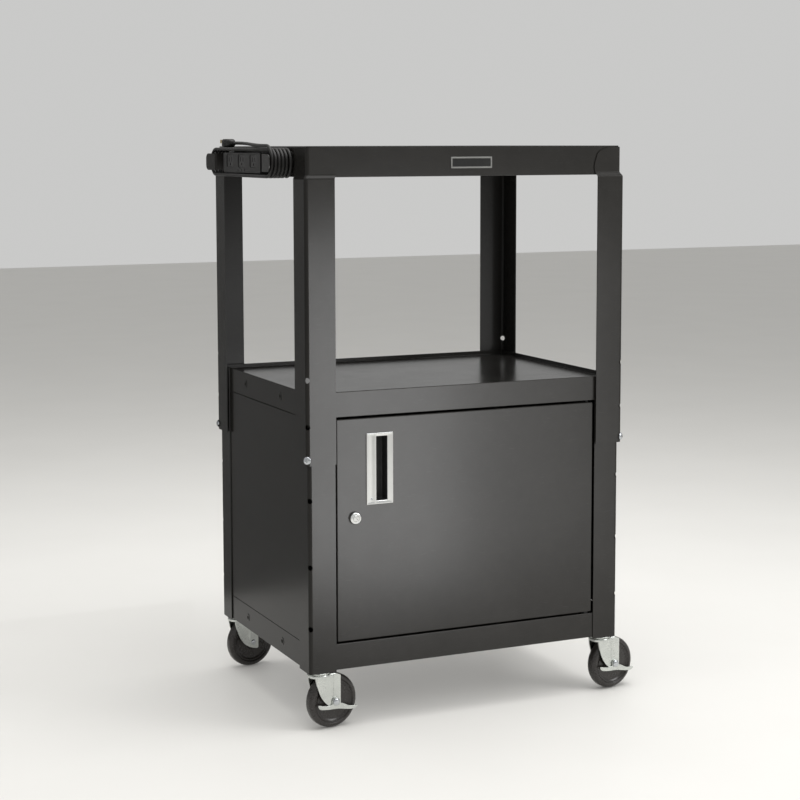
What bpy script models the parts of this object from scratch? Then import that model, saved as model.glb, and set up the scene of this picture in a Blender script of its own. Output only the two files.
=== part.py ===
"""Audio visual cart: three shelves, a locking cabinet, sliding upper legs, stem casters
and a power unit whose cord is wound on a bracket.

Metres, +Z up, +Y to the back. The origin is on the floor under the middle of the shelves.
"""
from math import acos, atan2, cos, pi, radians, sin, sqrt

import bmesh
import bpy
import numpy as np
from mathutils import Matrix, Vector

# Gaps that every piece keeps
TOUCH_GAP = 0.0003
CUT_OVERRUN = 0.004

# Shelves
SHELF_WIDTH = 0.6096
SHELF_DEPTH = 0.4572
SHELF_SHEET = 0.0012
SHELF_CORNER = 0.0040
SHELF_INNER_CORNER = 0.0010
LIP_WIDTH = 0.0030
LIP_RISE = 0.0080
LIP_ROUND = 0.0010
BOTTOM_SKIRT = 0.0458
MIDDLE_SKIRT = 0.0440
TOP_SKIRT = 0.0523
BOTTOM_RETURN = 0.0080
MIDDLE_RETURN = 0.0180
TOP_RETURN = 0.0120
CABINET_OPENING = 0.3986
BAY_OPENING = 0.3673
SIDE_HOLE_DIAMETER = 0.0090
SIDE_HOLE_SPACING = 0.1820
SIDE_HOLE_RISE = 0.0227

# Casters
WHEEL_DIAMETER = 0.0970
WHEEL_WIDTH = 0.0220
WHEEL_SHOULDER = 0.0075
WHEEL_RIM = 0.0125
WHEEL_DISH = 0.0040
WHEEL_DISH_SLOPE = 0.0040
HUB_DIAMETER = 0.0250
HUB_SLOPE = 0.0015
HUB_SIDE_GAP = 0.0004
HUB_PROUD = 0.0012
AXLE_DIAMETER = 0.0080
AXLE_HEAD_DIAMETER = 0.0130
AXLE_HEAD_RISE = 0.0035
PLAIN_HEAD_DIAMETER = 0.0105
PLAIN_HEAD_RISE = 0.0015
CASTER_TRAIL = 0.0250
CASTER_INSET_X = 0.0218
CASTER_INSET_Y = 0.0176
CASTER_AZIMUTH = radians(10)
CROWN_CLEARANCE = 0.0015
FORK_SHEET = 0.0023
FORK_NOSE = 0.0110
FORK_NOSE_DROP = 0.0125
FORK_NOSE_ROUND = 0.0030
FORK_FRONT = 0.0200
FORK_FRONT_ROUND = 0.0080
FORK_SKIRT = 0.0100
FORK_BEND = 0.0036
FORK_CURVE_SHARES = (0.736, 0.085)
FORK_RIB_WIDTH = 0.0056
FORK_RIB_PROUD = 0.0010
FORK_RIB_OFFSET = 0.0065
FORK_RIB_START = 0.0120
DISH_DIAMETER = 0.0400
DISH_SKIRT = 0.0080
KINGPIN_DIAMETER = 0.0084
KINGPIN_HEAD_DIAMETER = 0.0140
KINGPIN_HEAD_RISE = 0.0030
CUP_DIAMETER = 0.0410
CUP_HEIGHT = 0.0024
CUP_ROUND = 0.0008
STEM_COLLAR_DIAMETER = 0.0160
STEM_DIAMETER = 0.0110
STEM_END = 0.0060
MOUNT_SHEET = 0.0025
MOUNT_REACH = 0.0600
MOUNT_NOSE_SHARE = 0.38
MOUNT_CORNER_SHARE = 0.6
STEM_NUT_FLATS = 0.0170
STEM_NUT_HEIGHT = 0.0090

# Brake levers, whose outlines are shares of their length measured from the axle
LEVER_LENGTH = 0.0800
LEVER_SHEET = 0.0025
LEVER_EYE = 0.0080
LEVER_TOP_SHARES = ((-0.456, -0.016), (-0.281, -0.056), (-0.150, -0.059))
LEVER_TIP_SHARES = ((0.115, -0.038), (0.160, -0.050), (0.230, -0.085), (0.305, -0.126), (0.390, -0.146),
                    (0.470, -0.157), (0.545, -0.156))
LEVER_UNDER_SHARES = ((0.530, -0.199), (0.470, -0.225), (0.350, -0.222), (0.210, -0.196), (0.060, -0.165),
                      (-0.046, -0.156), (-0.190, -0.149), (-0.350, -0.128), (-0.420, -0.103), (-0.452, -0.056))

# Legs
LEG_BEND = 0.0061
LEG_REACH = 0.0478
LEG_DROP = 0.0030
LOWER_LEG_SHEET = 0.0018
UPPER_LEG_SHEET = 0.0020
SLIDE_CLEARANCE = 0.0026
UPPER_LEG_LAP = 0.0805
JOGGLE_START = 0.0035
JOGGLE_HEIGHT = 0.0090
EAR_STEP = 0.0023
EAR_BULGE = 0.0050
EAR_BULGE_SHARES = ((0.0, 0.70), (0.07, 0.90), (0.15, 1.0), (0.28, 0.92), (0.45, 0.56), (0.62, 0.0))
EAR_ARCH_WIDTH = 0.0360
LEG_HOLE_DIAMETER = 0.0085
BOLT_RISE = 0.0103
UPPER_HOLE_RISES = (0.0671, 0.1478)
LOWER_HOLE_RISES = (0.0802, 0.1887, 0.3051)
SPARE_HOLE_STEP = 0.0508
BOLT_DIAMETER = 0.0075
BOLT_HEAD_DIAMETER = 0.0145
BOLT_HEAD_RISE = 0.0040
THREAD_DIAMETER = 0.0060
LEG_NUT_FLATS = 0.0110
LEG_NUT_HEIGHT = 0.0060

# Cabinet panels
PANEL_SHEET = 0.0012
PANEL_RETURN = 0.0120
PANEL_TUCK = 0.0250
PANEL_TOP_GAP = 0.0012

# Door
DOOR_SIDE_GAP = 0.0030
DOOR_BOTTOM_GAP = 0.0033
DOOR_TOP_GAP = 0.0043
DOOR_DEPTH = 0.0180
DOOR_SHEET = 0.0012
DOOR_RETURN = 0.0100
DOOR_ROUND = 0.0012
DOOR_CORNER = 0.0010
HINGE_SIDE = 0.0080
HINGE_RUNNING_GAP = 0.0010
HINGE_PIN_DIAMETER = 0.0050
HINGE_PIN_LENGTH = 0.0080
HINGE_HEAD_DIAMETER = 0.0090
HINGE_HEAD_RISE = 0.0020
PIVOT_BLOCK_DIAMETER = 0.0124
PIVOT_FLANGE_DIAMETER = 0.0154
PIVOT_FLANGE_SHEET = 0.0015
STIFFENER_WIDTH = 0.0600
STIFFENER_FLANGE = 0.0140
STIFFENER_DEPTH = 0.0120
STIFFENER_SHEET = 0.0010
STIFFENER_END_GAP = 0.0150

# Door pull
PULL_LEFT = 0.0554
PULL_WIDTH = 0.0506
PULL_RISE = 0.2384
PULL_HEIGHT = 0.1256
PULL_PROUD = 0.0026
PULL_EDGE = 0.0014
PULL_BAND = 0.0182
PULL_OPENING_WIDTH = 0.0214
PULL_OPENING_HEIGHT = 0.1134
CUP_WALL = 0.0008
PULL_CUP_DEPTH = 0.0220
PULL_CUP_MARGIN = 0.0012
CUP_REACH = 0.0162

# Lock
LOCK_LEFT = 0.0336
LOCK_RISE = 0.2171
LOCK_FACE_DIAMETER = 0.0220
LOCK_PROUD = 0.0075
LOCK_FACE_TAPER = 0.0020
LOCK_BODY_DIAMETER = 0.0160
LOCK_CORE_DIAMETER = 0.0110
LOCK_BODY_LENGTH = 0.0180
LOCK_NUT_FLATS = 0.0220
LOCK_NUT_HEIGHT = 0.0030
CAM_CLEARANCE = 0.0017
CAM_SHEET = 0.0020
CAM_WIDTH = 0.0140
CAM_LENGTH = 0.0460
CAM_NECK_DIAMETER = 0.0070
CAM_SCREW_RISE = 0.0020
KEY_SLOT_WIDTH = 0.0012
KEY_SLOT_LENGTH = 0.0070
KEY_SLOT_DEPTH = 0.0040
STRIKE_SHEET = 0.0020
STRIKE_GAP = 0.0006
STRIKE_HEIGHT = 0.0400
STRIKE_EDGE_GAP = 0.0010
STRIKE_TONGUE = 0.0180
STRIKE_BASE = 0.0160

# Blank nameplate
PLATE_CENTRE_X = 0.0045
PLATE_WIDTH = 0.0802
PLATE_HEIGHT = 0.0200
PLATE_RISE = 0.0135
PLATE_THICKNESS = 0.0010
PLATE_FRAME = 0.0012
PLATE_SINK = 0.0004

# Winding bracket and power unit, with depths measured outward from the shelf's left side
BRACKET_SHEET = 0.0015
BRACKET_BOTTOM = 0.0087
BRACKET_HEIGHT = 0.0306
NECK_ROOM = 0.0270
EAR_LENGTH = 0.0440
EAR_FLARE = 0.0026
EAR_CHAMFER = 0.0060
EAR_CORD_GAP = 0.0004
RIVET_DIAMETER = 0.0048
RIVET_HEAD_DIAMETER = 0.0090
RIVET_HEAD_RISE = 0.0026
HOUSING_HALF = 0.0980
HOUSING_BOTTOM = 0.0052
HOUSING_HEIGHT = 0.0358
HOUSING_FACE = 0.0360
HOUSING_WALL = 0.0016
HOUSING_CORNER = 0.0030
FACE_SHEET = 0.0020
FACE_ROUND = 0.0008
RECEPTACLE_PITCH = 0.0620
RECEPTACLE_COUNT = 3
RECEPTACLE_WIDTH = 0.0340
RECEPTACLE_HEIGHT = 0.0220
RECEPTACLE_LIFT = 0.0035
RECEPTACLE_DEPTH = 0.0120
RECEPTACLE_CORNER = 0.0040
RECEPTACLE_BAR = 0.0020
RECEPTACLE_BAR_MARGIN = 0.0010
BLADE_SLOT_SPACING = 0.0127
BLADE_SLOT_WIDTH = 0.0022
BLADE_SLOT_HEIGHT = 0.0078
BLADE_SLOT_LIFT = 0.0025
EARTH_SLOT_DIAMETER = 0.0046
EARTH_SLOT_DROP = 0.0060
SLOT_DEPTH = 0.0060
VENT_SLOT_WIDTH = 0.0022
VENT_SLOT_HEIGHT = 0.0040
VENT_SLOT_PITCH = 0.0180
VENT_SLOT_RISE = 0.0050
RELIEF_REACH = 0.0105
RELIEF_COLLAR_DIAMETER = 0.0094
RELIEF_COLLAR_RISE = 0.0024
RELIEF_NECK_DIAMETER = 0.0074
RELIEF_TIP_DIAMETER = 0.0070
RELIEF_INSIDE = 0.0080
RELIEF_INNER_HEAD = 0.0080

# Cord winding
CORD_DIAMETER = 0.0060
CORD_PITCH = 0.0067
CORD_FIRST = 0.0046
CORD_LOOPS = 5
CORD_POINTS_PER_LOOP = 24
CORD_END_ARC_POINTS = 9
CORD_EAR_MARGIN = 0.0040
CORD_BOTTOM = 0.0007
CORD_HEIGHT = 0.0465
CORD_LEAD_RADIUS = 0.0250
CORD_LAYER_GAP = 0.0005
LEAD_SHIFT_SHARE = 0.55
NOTCH_MARGIN = 0.0012

# Plug
PLUG_CENTRE = 0.0130
PLUG_WIDTH = 0.0165
PLUG_HEIGHT = 0.0154
PLUG_SETBACK = 0.0650
PLUG_LENGTH = 0.0500
PLUG_RELIEF = 0.0180
PLUG_CORNER = 0.0040
PLUG_CORNER_STEPS = 3
BLADE_REACH = 0.0170
BLADE_ROOT = 0.0060
BLADE_SPACING = 0.0090
BLADE_THICKNESS = 0.0015
BLADE_HEIGHT = 0.0064
EARTH_PIN_DIAMETER = 0.0048
BLADE_LIFT = 0.0030
EARTH_PIN_DROP = 0.0038

# Finishes: colour, roughness and metallic value
POWDER_COAT = ((0.028, 0.027, 0.025), 0.42, 0.0)
ZINC = ((0.66, 0.69, 0.66), 0.35, 1.0)
CHROME = ((0.80, 0.82, 0.80), 0.12, 1.0)
WHEEL_RUBBER = ((0.022, 0.019, 0.017), 0.55, 0.0)
DARK_PLASTIC = ((0.020, 0.019, 0.019), 0.50, 0.0)
CORD_JACKET = ((0.022, 0.020, 0.019), 0.55, 0.0)
PULL_BLACK = ((0.010, 0.010, 0.010), 0.60, 0.0)
BLADE_METAL = ((0.72, 0.60, 0.38), 0.30, 1.0)
PLATE_METAL = ((0.30, 0.30, 0.29), 0.40, 1.0)

# Corner signs: (right or left, back or front) with the names used for repeated pieces
CORNERS = {"front_left": (-1, -1), "front_right": (1, -1), "back_left": (-1, 1), "back_right": (1, 1)}
ROUND_STEPS = 3
TURN_STEPS = 12
HOLE_STEPS = 10
WHEEL_STEPS = 26
DISH_STEPS = 20
FORK_STEPS = 6

# Levels worked out from the wheel upwards
HALF_WIDTH = SHELF_WIDTH / 2
HALF_DEPTH = SHELF_DEPTH / 2
WHEEL_RADIUS = WHEEL_DIAMETER / 2
FORK_HALF = WHEEL_WIDTH / 2 + HUB_PROUD + HUB_SIDE_GAP + FORK_SHEET
CROWN_UNDER = WHEEL_DIAMETER + CROWN_CLEARANCE
CROWN_TOP = CROWN_UNDER + FORK_SHEET
CUP_UNDER = CROWN_TOP + TOUCH_GAP
CUP_TOP = CUP_UNDER + CUP_HEIGHT
LEG_BOTTOM = CUP_TOP + TOUCH_GAP
BOTTOM_SHELF = LEG_BOTTOM + LEG_DROP
BOTTOM_LIP = BOTTOM_SHELF + BOTTOM_SKIRT
MOUNT_UNDER = BOTTOM_SHELF + SHELF_SHEET / 2
MOUNT_TOP = MOUNT_UNDER + MOUNT_SHEET
MIDDLE_SHELF = BOTTOM_LIP + CABINET_OPENING
MIDDLE_LIP = MIDDLE_SHELF + MIDDLE_SKIRT
TOP_SHELF = MIDDLE_LIP + BAY_OPENING
TOP_LIP = TOP_SHELF + TOP_SKIRT
UPPER_LEG_BOTTOM = MIDDLE_SHELF - UPPER_LEG_LAP
UPPER_LEG_OFFSET = TOUCH_GAP + LOWER_LEG_SHEET + SLIDE_CLEARANCE
BOLT_LEVEL = UPPER_LEG_BOTTOM + BOLT_RISE
DOOR_HALF = HALF_WIDTH - LEG_REACH - DOOR_SIDE_GAP
DOOR_BOTTOM = BOTTOM_LIP + DOOR_BOTTOM_GAP
DOOR_TOP = MIDDLE_SHELF - DOOR_TOP_GAP
HINGE_BACK = HINGE_SIDE + DOOR_SIDE_GAP - HINGE_RUNNING_GAP
HINGE_X = DOOR_HALF - HINGE_SIDE
HINGE_Y = -HALF_DEPTH + HINGE_BACK
LOCK_X = -DOOR_HALF + LOCK_LEFT
LOCK_Z = DOOR_BOTTOM + LOCK_RISE

# Frames of outlines: across the front facing out, and along the left side facing out
FRONT = Matrix(((1, 0, 0, 0), (0, 0, -1, -HALF_DEPTH), (0, 1, 0, 0), (0, 0, 0, 1)))
LEFT = Matrix(((0, 0, -1, -HALF_WIDTH), (-1, 0, 0, 0), (0, 1, 0, 0), (0, 0, 0, 1)))
WHEEL_PLANE = Matrix(((1, 0, 0, CASTER_TRAIL), (0, 0, -1, 0), (0, 1, 0, WHEEL_RADIUS), (0, 0, 0, 1)))


def clear_scene():
    """Remove every object that the file held before."""
    for obj in list(bpy.data.objects):
        bpy.data.objects.remove(obj, do_unlink=True)


def make_material(name, finish):
    """Return a Principled material from a (colour, roughness, metallic) finish."""
    colour, roughness, metallic = finish
    material = bpy.data.materials.new(name)
    material.use_nodes = True
    shader = material.node_tree.nodes["Principled BSDF"]
    shader.inputs["Base Color"].default_value = (*colour, 1)
    shader.inputs["Roughness"].default_value = roughness
    shader.inputs["Metallic"].default_value = metallic
    return material


def mesh_from(bm, name="shape"):
    """Turn a bmesh into a mesh whose faces point outwards."""
    bmesh.ops.recalc_face_normals(bm, faces=bm.faces)
    mesh = bpy.data.meshes.new(name)
    bm.to_mesh(mesh)
    bm.free()
    return mesh


def loft(rings, place=Matrix.Identity(4), closed=False):
    """Join rings of equal length into one solid, with flat ends or closed on itself."""
    bm = bmesh.new()
    loops = [[bm.verts.new(place @ Vector(point)) for point in ring] for ring in rings]
    pairs = list(zip(loops, loops[1:]))
    if closed:
        pairs.append((loops[-1], loops[0]))
    for low, high in pairs:
        for index in range(len(low)):
            after = (index + 1) % len(low)
            bm.faces.new((low[index], low[after], high[after], high[index]))
    if not closed:
        bm.faces.new(loops[0])
        bm.faces.new(loops[-1])
    return mesh_from(bm)


def prism(outline, low, high, place=Matrix.Identity(4)):
    """Extrude a flat outline from one depth to another."""
    return loft([[(x, y, depth) for x, y in outline] for depth in (low, high)], place)


def turned(profile, place=Matrix.Identity(4), steps=TURN_STEPS, closed=False):
    """Turn a profile of (radius, height) points about the frame's third axis."""
    bm = bmesh.new()
    loops = []
    for radius, height in profile:
        if radius == 0:
            loops.append([bm.verts.new(place @ Vector((0, 0, height)))])
            continue
        ring = []
        for step in range(steps):
            angle = 2 * pi * (step + 0.5) / steps
            ring.append(bm.verts.new(place @ Vector((radius * cos(angle), radius * sin(angle), height))))
        loops.append(ring)
    pairs = list(zip(loops, loops[1:]))
    if closed:
        pairs.append((loops[-1], loops[0]))
    for low, high in pairs:
        for step in range(steps):
            after = (step + 1) % steps
            corners = []
            for loop, index in ((low, step), (low, after), (high, after), (high, step)):
                vertex = loop[index % len(loop)]
                if vertex not in corners:
                    corners.append(vertex)
            bm.faces.new(corners)
    return mesh_from(bm)


def rectangle(half_x, half_y, radius, height, centre=(0, 0), steps=ROUND_STEPS):
    """Return one ring of a rectangle with round corners, at one height."""
    ring = []
    for corner, (sign_x, sign_y) in enumerate(((1, 1), (-1, 1), (-1, -1), (1, -1))):
        for step in range(steps + 1):
            angle = (corner + step / steps) * pi / 2
            ring.append((centre[0] + sign_x * (half_x - radius) + radius * cos(angle),
                         centre[1] + sign_y * (half_y - radius) + radius * sin(angle), height))
    return ring


def box(low, high, place=Matrix.Identity(4)):
    """Return a plain box between two corners."""
    outline = ((low[0], low[1]), (high[0], low[1]), (high[0], high[1]), (low[0], high[1]))
    return prism(outline, low[2], high[2], place)


def hexagon(flats, turn=0.0):
    """Return the outline of a hexagon from its width across flats."""
    radius = flats / sqrt(3)
    return [(radius * cos(turn + side * pi / 3), radius * sin(turn + side * pi / 3)) for side in range(6)]


def rod(radius, low, high, place=Matrix.Identity(4), steps=TURN_STEPS):
    """Return a plain round rod along the frame's third axis."""
    return turned(((0, low), (radius, low), (radius, high), (0, high)), place, steps)


def combined(base, tools, operation="DIFFERENCE"):
    """Return the base mesh after an exact Boolean with each tool in turn."""
    body = bpy.data.objects.new("boolean_body", base)
    bpy.context.scene.collection.objects.link(body)
    helpers = []
    for tool in tools:
        helper = bpy.data.objects.new("boolean_tool", tool)
        helper.hide_render = True
        helper.display_type = "WIRE"
        bpy.context.scene.collection.objects.link(helper)
        helpers.append(helper)
        modifier = body.modifiers.new("boolean", "BOOLEAN")
        modifier.operation = operation
        modifier.solver = "EXACT"
        modifier.object = helper
    bpy.context.view_layer.update()
    evaluated = body.evaluated_get(bpy.context.evaluated_depsgraph_get())
    result = bpy.data.meshes.new_from_object(evaluated)
    for obj in (body, *helpers):
        bpy.data.objects.remove(obj, do_unlink=True)
    return result


def add_piece(name, mesh, material, parent=None, offset=(0, 0, 0)):
    """Place one named piece, shaded smooth with its edges kept sharp."""
    mesh.materials.clear()
    mesh.materials.append(material)
    mesh.shade_smooth()
    mesh.set_sharp_from_angle(angle=radians(30))
    obj = bpy.data.objects.new(name, mesh)
    obj.parent = parent
    obj.location = offset
    bpy.context.scene.collection.objects.link(obj)
    return obj


def add_axis(name, location, parent=None, turn=0.0):
    """Place an empty on a joint's axis."""
    empty = bpy.data.objects.new(name, None)
    empty.location = location
    empty.rotation_euler = (0, 0, turn)
    empty.parent = parent
    bpy.context.scene.collection.objects.link(empty)
    return empty


def smooth_step(share):
    """Return a share eased at both ends."""
    share = min(max(share, 0.0), 1.0)
    return share * share * (3 - 2 * share)


# Shelves
def shelf_mesh(bottom, skirt, inner_return):
    """Return a pressed tray: skirt with an inward return, raised lip and sunken plate."""
    lip = bottom + skirt
    plate = lip - LIP_RISE
    edge = SHELF_SHEET / 2
    levels = [(SHELF_SHEET, plate - SHELF_SHEET), (SHELF_SHEET, bottom + SHELF_SHEET),
              (inner_return, bottom + SHELF_SHEET), (inner_return, bottom), (edge, bottom),
              (0, bottom + edge)]
    for step in range(ROUND_STEPS):
        angle = step * pi / 2 / (ROUND_STEPS - 1)
        levels.append((LIP_ROUND * (1 - cos(angle)), lip - LIP_ROUND * (1 - sin(angle))))
    levels += [(LIP_WIDTH - edge, lip), (LIP_WIDTH, lip - edge), (LIP_WIDTH, plate)]
    rings = []
    for inset, height in levels:
        corner = max(SHELF_CORNER - inset, SHELF_INNER_CORNER)
        rings.append(rectangle(HALF_WIDTH - inset, HALF_DEPTH - inset, corner, height))
    return loft(rings)


def side_hole_tools(bottom):
    """Return the rods that punch the two holes in each side skirt."""
    tools = []
    for sign_x in (-1, 1):
        for sign_y in (-1, 1):
            centre = Vector((sign_x * HALF_WIDTH, sign_y * SIDE_HOLE_SPACING / 2, bottom + SIDE_HOLE_RISE))
            place = Matrix.Translation(centre) @ Matrix.Rotation(pi / 2, 4, "Y")
            tools.append(rod(SIDE_HOLE_DIAMETER / 2, -CUT_OVERRUN, CUT_OVERRUN, place, HOLE_STEPS))
    return tools


def hinge_hole_tool(low, high, diameter=HINGE_PIN_DIAMETER):
    """Return the rod that opens a hole on the hinge's axis between two levels."""
    place = Matrix.Translation((HINGE_X, HINGE_Y, 0))
    return rod(diameter / 2 + TOUCH_GAP, low, high, place)


def build_shelves(coat, upper):
    """Make the bottom, middle and top shelves."""
    bottom = combined(shelf_mesh(BOTTOM_SHELF, BOTTOM_SKIRT, BOTTOM_RETURN),
                      [mount_mesh(signs) for signs in CORNERS.values()], "UNION")
    stem_holes = [rod(STEM_DIAMETER / 2 + TOUCH_GAP, MOUNT_UNDER - CUT_OVERRUN, MOUNT_TOP + CUT_OVERRUN,
                      Matrix.Translation(caster_point(signs))) for signs in CORNERS.values()]
    plate = BOTTOM_LIP - LIP_RISE
    pivot_hole = hinge_hole_tool(plate - CUT_OVERRUN, plate + CUT_OVERRUN, PIVOT_BLOCK_DIAMETER)
    tools = [*side_hole_tools(BOTTOM_SHELF), *stem_holes, pivot_hole]
    add_piece("bottom_shelf", combined(bottom, tools), coat)
    pin_hole = hinge_hole_tool(MIDDLE_SHELF - CUT_OVERRUN, MIDDLE_SHELF + SHELF_SHEET + CUT_OVERRUN)
    middle = combined(shelf_mesh(MIDDLE_SHELF, MIDDLE_SKIRT, MIDDLE_RETURN),
                      side_hole_tools(MIDDLE_SHELF) + [pin_hole])
    add_piece("middle_shelf", middle, coat)
    tools = [rod(RIVET_DIAMETER / 2 + TOUCH_GAP, -CUT_OVERRUN, CUT_OVERRUN, rivet_place(sign))
             for sign in (-1, 1)]
    add_piece("top_shelf", combined(shelf_mesh(TOP_SHELF, TOP_SKIRT, TOP_RETURN), tools), coat, upper)


# Legs
def leg_ring(signs, height, offset, sheet, reach):
    """Return one level of an angle leg: its inner faces stand off the shelf by the offset."""
    inner = Vector((HALF_WIDTH + offset, HALF_DEPTH + offset))
    outer = inner + Vector((sheet, sheet))
    centre = outer - Vector((LEG_BEND, LEG_BEND))
    free = Vector((HALF_WIDTH - reach, HALF_DEPTH - reach))
    points = [(free.x, outer.y)]
    turns = [step * pi / 2 / ROUND_STEPS for step in range(ROUND_STEPS + 1)]
    for angle in reversed(turns):
        points.append((centre.x + LEG_BEND * cos(angle), centre.y + LEG_BEND * sin(angle)))
    points += [(outer.x, free.y), (inner.x, free.y)]
    for angle in turns:
        radius = LEG_BEND - sheet
        points.append((centre.x + radius * cos(angle), centre.y + radius * sin(angle)))
    points.append((free.x, inner.y))
    return [(signs[0] * x, signs[1] * y, height) for x, y in points]


def diagonal_place(signs, offset, height):
    """Return a frame on a leg's bend, with its third axis pointing out along the diagonal."""
    reach = HALF_WIDTH + offset - LEG_BEND + LEG_BEND * sqrt(0.5)
    depth = HALF_DEPTH + offset - LEG_BEND + LEG_BEND * sqrt(0.5)
    turn = Matrix.Rotation(atan2(signs[1], signs[0]), 4, "Z") @ Matrix.Rotation(pi / 2, 4, "Y")
    return Matrix.Translation((signs[0] * reach, signs[1] * depth, height)) @ turn


def leg_hole_tools(signs, offset, levels):
    """Return the rods that drill a leg's bend at the given levels."""
    return [rod(LEG_HOLE_DIAMETER / 2, -2 * CUT_OVERRUN, CUT_OVERRUN, diagonal_place(signs, offset, level),
                HOLE_STEPS) for level in levels]


def lower_leg_mesh(signs):
    """Return a lower leg: a plain angle with holes down its bend and a nut welded behind one."""
    rings = [leg_ring(signs, height, TOUCH_GAP, LOWER_LEG_SHEET, LEG_REACH)
             for height in (LEG_BOTTOM, MIDDLE_LIP)]
    seat = -LEG_NUT_FLATS / 2
    place = diagonal_place(signs, TOUCH_GAP + LOWER_LEG_SHEET, BOLT_LEVEL)
    nut = prism(hexagon(LEG_NUT_FLATS), seat - LEG_NUT_HEIGHT, seat, place)
    thread = rod(THREAD_DIAMETER / 2, seat - LEG_NUT_HEIGHT - CUT_OVERRUN, CUT_OVERRUN, place)
    levels = [LEG_BOTTOM + rise for rise in LOWER_HOLE_RISES] + [BOLT_LEVEL + SPARE_HOLE_STEP]
    tools = leg_hole_tools(signs, TOUCH_GAP + LOWER_LEG_SHEET, levels) + [thread]
    return combined(combined(loft(rings), [nut], "UNION"), tools)


def upper_leg_mesh(signs):
    """Return an upper leg: an angle that steps in to the shelf and ends in an arched ear."""
    start = TOP_SHELF - JOGGLE_START
    end = start + JOGGLE_HEIGHT
    ear = TOP_LIP - EAR_STEP - end
    levels = [(UPPER_LEG_BOTTOM, 0.0, 0.0), (start, 0.0, 0.0),
              (start + JOGGLE_HEIGHT / 2, 0.5, EAR_BULGE * EAR_BULGE_SHARES[0][1] / 2)]
    levels += [(end + share * ear, 1.0, EAR_BULGE * bulge) for share, bulge in EAR_BULGE_SHARES]
    arch_start = EAR_BULGE_SHARES[-1][0]
    for angle in (radians(degrees) for degrees in (20, 40, 57, 73, 90)):
        height = end + ear * (arch_start + (1 - arch_start) * sin(angle))
        levels.append((height, 1.0, -EAR_ARCH_WIDTH * (1 - cos(angle))))
    rings = []
    for height, step_in, bulge in levels:
        offset = UPPER_LEG_OFFSET + (TOUCH_GAP - UPPER_LEG_OFFSET) * step_in
        rings.append(leg_ring(signs, height, offset, UPPER_LEG_SHEET, LEG_REACH + bulge))
    holes = [UPPER_LEG_BOTTOM + rise for rise in UPPER_HOLE_RISES] + [BOLT_LEVEL]
    return combined(loft(rings), leg_hole_tools(signs, UPPER_LEG_OFFSET + UPPER_LEG_SHEET, holes))


def height_bolt_mesh(signs):
    """Return a truss-head bolt whose stub ends short of the lower leg."""
    stand = UPPER_LEG_OFFSET + UPPER_LEG_SHEET
    lower = TOUCH_GAP + LOWER_LEG_SHEET
    facet_sink = LEG_BEND * (1 - cos(pi / 4 / ROUND_STEPS))
    reach = (stand - lower) * sqrt(2) + facet_sink - TOUCH_GAP
    radius = BOLT_DIAMETER / 2
    head = BOLT_HEAD_DIAMETER / 2
    profile = ((0, TOUCH_GAP - reach), (radius, TOUCH_GAP - reach), (radius, TOUCH_GAP), (head, TOUCH_GAP),
               (head, TOUCH_GAP + BOLT_HEAD_RISE / 5), (head * 0.85, TOUCH_GAP + BOLT_HEAD_RISE * 0.62),
               (head * 0.5, TOUCH_GAP + BOLT_HEAD_RISE * 0.92), (0, TOUCH_GAP + BOLT_HEAD_RISE))
    return turned(profile, diagonal_place(signs, stand, BOLT_LEVEL))


def build_legs(coat, zinc, upper):
    """Make the eight legs and the four height bolts."""
    for corner, signs in CORNERS.items():
        add_piece("lower_leg_" + corner, lower_leg_mesh(signs), coat)
        add_piece("upper_leg_" + corner, upper_leg_mesh(signs), coat, upper)
        add_piece("height_bolt_" + corner, height_bolt_mesh(signs), zinc, upper)


# Cabinet panels
def channel(outer, depth, sheet):
    """Return the outline of a channel: a web along the first axis with a leg at each end."""
    return ((-outer, 0), (outer, 0), (outer, -depth), (outer - sheet, -depth), (outer - sheet, -sheet),
            (sheet - outer, -sheet), (sheet - outer, -depth), (-outer, -depth))


def build_panels(coat):
    """Make the left, right and back panels, tucked behind the legs' flanges."""
    low = BOTTOM_LIP + TOUCH_GAP
    high = MIDDLE_SHELF - PANEL_TOP_GAP
    tuck = LEG_REACH - PANEL_TUCK
    walls = {"left_panel": (pi / 2, HALF_WIDTH, HALF_DEPTH), "right_panel": (-pi / 2, HALF_WIDTH, HALF_DEPTH),
             "back_panel": (0, HALF_DEPTH, HALF_WIDTH)}
    for name, (turn, stand, half) in walls.items():
        place = Matrix.Rotation(turn, 4, "Z") @ Matrix.Translation((0, stand, 0))
        outline = channel(half - tuck, PANEL_RETURN, PANEL_SHEET)
        add_piece(name, prism(outline, low, high, place), coat)


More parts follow.
